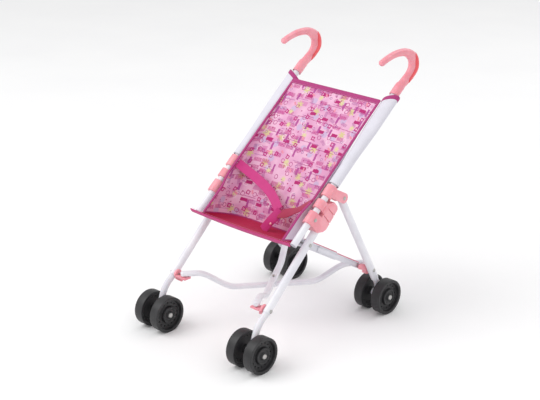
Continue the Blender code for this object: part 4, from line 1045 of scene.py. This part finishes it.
for piece in [hem, front_tape, seam] + pipings:
    gathers(piece)

# Stitches evenly along an edge line, each a small thread lying along it.
stitches, stitch_in, stitch_out = new_tree("row_of_stitches", Pitch="Float", Length="Float",
                                           Thread="Float", Material="Material")
seam_curve = add_node(stitches, "GeometryNodeMeshToCurve", {"Mesh": stitch_in["Geometry"]})
spots = add_node(stitches, "GeometryNodeCurveToPoints", {"Curve": seam_curve.outputs["Curve"],
                                                         "Length": stitch_in["Pitch"]}, mode="LENGTH")
bead = add_node(stitches, "GeometryNodeMeshUVSphere", {"Segments": 8, "Rings": 6, "Radius": 0.5})
stretch = add_node(stitches, "ShaderNodeCombineXYZ", {"X": stitch_in["Thread"], "Y": stitch_in["Thread"],
                                                      "Z": stitch_in["Length"]})
thread = add_node(stitches, "GeometryNodeTransform", {"Geometry": bead.outputs["Mesh"],
                                                      "Scale": stretch.outputs["Vector"]})
along = add_node(stitches, "FunctionNodeAlignRotationToVector", {"Vector": spots.outputs["Tangent"]},
                 axis="Z")
row = add_node(stitches, "GeometryNodeInstanceOnPoints", {"Points": spots.outputs["Points"],
                                                          "Instance": thread.outputs["Geometry"],
                                                          "Rotation": along.outputs["Rotation"]})
row = add_node(stitches, "GeometryNodeRealizeInstances", {"Geometry": row.outputs["Instances"]})
row = add_node(stitches, "GeometryNodeSetMaterial", {"Geometry": row.outputs["Geometry"],
                                                     "Material": stitch_in["Material"]})
stitches.links.new(row.outputs["Geometry"], stitch_out.inputs["Geometry"])
cotton, cotton_tree, cotton_shader = new_material("pale_pink_thread", Roughness=0.7, Sheen_Weight=0.1)
dress_rib(cotton_tree, cotton_shader, "e7a9cb", "d98ab8", 0.0004, "X")


def stitched(name, line):
    """A row of stitches along the line, as a piece that gathers with the cloth."""
    mesh = bpy.data.meshes.new(name)
    mesh.from_pydata(line, [(k, k + 1) for k in range(len(line) - 1)], [])
    made = add_object(name, mesh)
    sewing = made.modifiers.new("stitches", "NODES")
    sewing.node_group = stitches
    set_inputs(sewing, Pitch=STITCH_PITCH, Length=STITCH_PITCH * 0.72, Thread=0.0007, Material=cotton)
    grown(made)
    gathers(made)
    return made


hem_stitches = stitched("hem_stitches", [p - up_tube * (HEM_HIGH * 0.42) - behind_tube * 0.0014
                                         for p in hem_line])
front_stitches = stitched("front_edge_stitches", [p + Vector((0.0, 0.0030, 0.0037))
                                                  for p in front_tape_line])

# ---------------------------------------------------------------------------------------------
# Sleeves: flat white polyester tubes that the handle tubes run through. They are wider at the top,
# where a magenta tape binds the slanted mouth, and narrow down to the upper brackets.
# ---------------------------------------------------------------------------------------------
SLEEVE_TOP_HALF = 0.0150
SLEEVE_LOW_HALF = 0.0105
MOUTH_TAPE = 0.0105
SLEEVE_DEPTH = 0.0092
SLEEVE_SIDES = 48
SLEEVE_ROWS = 60
SLEEVE_GIRTH = 4.2            # a sleeve's flat girth as a multiple of its half width
MOUTH_SLANT = 0.0150
MOUTH_SIDES = 12

sleeve_white, sleeve_tree, sleeve_shader = new_material("white_woven_polyester", Roughness=0.8,
                                                        Sheen_Weight=0.1, Specular_IOR_Level=0.35)
dress_weave(sleeve_tree, sleeve_shader, linear("e4e2ec")[:3], THREAD, 0.3)
for side, sign, body in SIDES:
    low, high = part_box(f"seat_sleeve_{side}")
    top_t = (high.z - in_side(0.0, 0.0).z) / up_tube.z - 0.008
    low_t = (low.z - in_side(0.0, 0.0).z) / up_tube.z + 0.009
    grid = []
    uv = []
    for i in range(SLEEVE_ROWS + 1):
        w = i / SLEEVE_ROWS
        t = top_t + (low_t - top_t) * w
        narrow = min(max((w - 0.25) / 0.5, 0.0), 1.0)
        narrow = narrow * narrow * (3 - 2 * narrow)
        half = SLEEVE_TOP_HALF + (SLEEVE_LOW_HALF - SLEEVE_TOP_HALF) * narrow
        around = oval(2 * half, 2 * SLEEVE_DEPTH, SLEEVE_SIDES, 2.3)
        row = []
        for k in range(SLEEVE_SIDES + 1):
            a = 2 * math.pi * k / SLEEVE_SIDES
            across, back = around[k % SLEEVE_SIDES]
            slant = MOUTH_SLANT * (0.5 + 0.5 * sign * across / half) * (1 - w) ** 8
            rumple = 0.0007 * mnoise.noise(Vector((math.cos(a) * 0.9 + sign, math.sin(a) * 0.9, t * 34)))
            row.append(in_side(t + slant, back * (1 + rumple * 60), sign * half_track + across))
        grid.append(row)
        uv.append([(k / SLEEVE_SIDES * SLEEVE_GIRTH * half, t) for k in range(SLEEVE_SIDES + 1)])
    sleeve = cloth(f"sleeve_{side}", grid, uv, [sleeve_white], 0.0008)
    mouth = [p + up_tube * 0.0005 for p in grid[0]]
    rim = bmesh.new()
    rings = []
    for k in range(SLEEVE_SIDES):
        place = mouth[k]
        out = place - in_side(0.0, 0.0, sign * half_track)
        out = (out - up_tube * out.dot(up_tube)).normalized()
        rings.append([rim.verts.new(place + out * o + up_tube * u)
                      for o, u in oval(0.0030, MOUTH_TAPE, MOUTH_SIDES, 3.0)])
    skin_over(rim, rings + rings[:1], caps=False)
    mouth_tape = finish_mesh(f"sleeve_mouth_binding_{side}", rim, tape, 60)
    for piece in (sleeve, mouth_tape):
        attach(piece, body)
    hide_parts(f"seat_sleeve_{side}")

# ---------------------------------------------------------------------------------------------
# Harness: magenta polyester webbing; the right waist strap's webbing is drawn crimson, as painted shade
# for the shadow it lies in. The waist straps hang from the hammock's edges, a crotch strap rises to meet
# them, and it carries a small pink snap.
# ---------------------------------------------------------------------------------------------
WEB_WIDTH = 0.020
WEB_THICK = 0.0015
WEB_CROWN = 0.0012            # webbing's middle above its edges
WEB_SIDES = 24

webbing, webbing_tree, webbing_shader = new_material("magenta_ribbed_webbing", Roughness=0.6,
                                                     Sheen_Weight=0.15, Specular_IOR_Level=0.45)
dress_rib(webbing_tree, webbing_shader, "cf2f84", "bd2575", 0.0016, "Z")
# The right waist strap's webbing: the magenta webbing darkened to crimson, as painted shade for the
# shadow that strap lies in.
painted_shade_webbing, painted_shade_webbing_tree, painted_shade_webbing_shader = new_material("magenta_webbing_in_painted_shade", Roughness=0.6,
                                                                 Sheen_Weight=0.15)
dress_rib(painted_shade_webbing_tree, painted_shade_webbing_shader, "b51c50", "981440", 0.0016, "Z")


def strap(name, marks, acrosses, node, material=webbing):
    """Flat webbing through the marks, its width turning from one given direction to the next."""
    centres = resampled(smooth_path(marks, 16), 60)
    shape = bmesh.new()
    rings = []
    for i, place in enumerate(centres):
        u = i / (len(centres) - 1) * (len(acrosses) - 1)
        k = min(int(u), len(acrosses) - 2)
        wide = acrosses[k].lerp(acrosses[k + 1], u - k)
        along = (centres[min(i + 1, len(centres) - 1)] - centres[max(i - 1, 0)]).normalized()
        wide = (wide - along * wide.dot(along)).normalized()
        above = wide.cross(along)
        rings.append([shape.verts.new(place + wide * a
                                      + above * (lift + WEB_CROWN * (1 - (2 * a / WEB_WIDTH) ** 2)))
                      for a, lift in oval(WEB_WIDTH, WEB_THICK, WEB_SIDES, 6.0)])
    skin_over(shape, rings)
    made = finish_mesh(name, shape, material, 50)
    gathers(made)
    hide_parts(node)


junction = in_side(0.0715, 0.0247, 0.030)
seat_at = seat_grid[int(SEAT_ROWS * 0.30)][SLING_COLUMNS // 2]
strap("waist_webbing_left",
      [in_side(0.130, -0.006, -edge_x + 0.002), in_side(0.127, 0.004, -0.100),
       in_side(0.118, 0.016, -0.062), in_side(0.100, 0.021, -0.015),
       junction + Vector((-0.004, 0.0, 0.002))],
      [up_tube, up_tube, Vector((0.25, 0.70, 0.66)), Vector((0.45, 0.55, 0.62)),
       Vector((0.55, 0.45, 0.6))], "waist_strap_left")
# The right waist strap is drawn in the darker webbing: painted shade, not a second colour of strap.
strap("waist_webbing_right",
      [in_side(0.104, -0.007, edge_x - 0.001), in_side(0.094, 0.000, 0.104), in_side(0.080, 0.009, 0.084),
       in_side(0.070, 0.017, 0.060), junction + Vector((0.000, -0.003, -0.007))],
      [Vector((0.5, 0.5, 0.6)), Vector((0.1, 0.75, 0.65)), Vector((-0.1, 0.85, 0.5)),
       Vector((-0.2, 0.6, 0.8)), Vector((-0.1, 0.75, 0.6))], "waist_strap_right", painted_shade_webbing)
strap("crotch_webbing",
      [seat_at + Vector((0.0, 0.0, 0.001)), seat_at.lerp(junction, 0.5) + Vector((0.002, -0.003, 0.002)),
       junction + Vector((0.003, -0.001, 0.001))],
      [Vector((1.0, 0.0, 0.0)), Vector((1.0, 0.15, 0.05)), Vector((0.85, 0.4, 0.2))], "crotch_strap")
snap_at = seat_at.lerp(junction, 0.35) + Vector((0.011, -0.005, 0.003))
snap = turned("harness_snap", [(0.0, 0.0042), (0.0016, 0.0042), (0.0024, 0.0034), (0.0026, 0.0018),
                               (0.0020, 0.0)], snap_at, Vector((0.15, -0.75, 0.6)).normalized(),
              pink_plastic, 32, False)
gathers(snap)
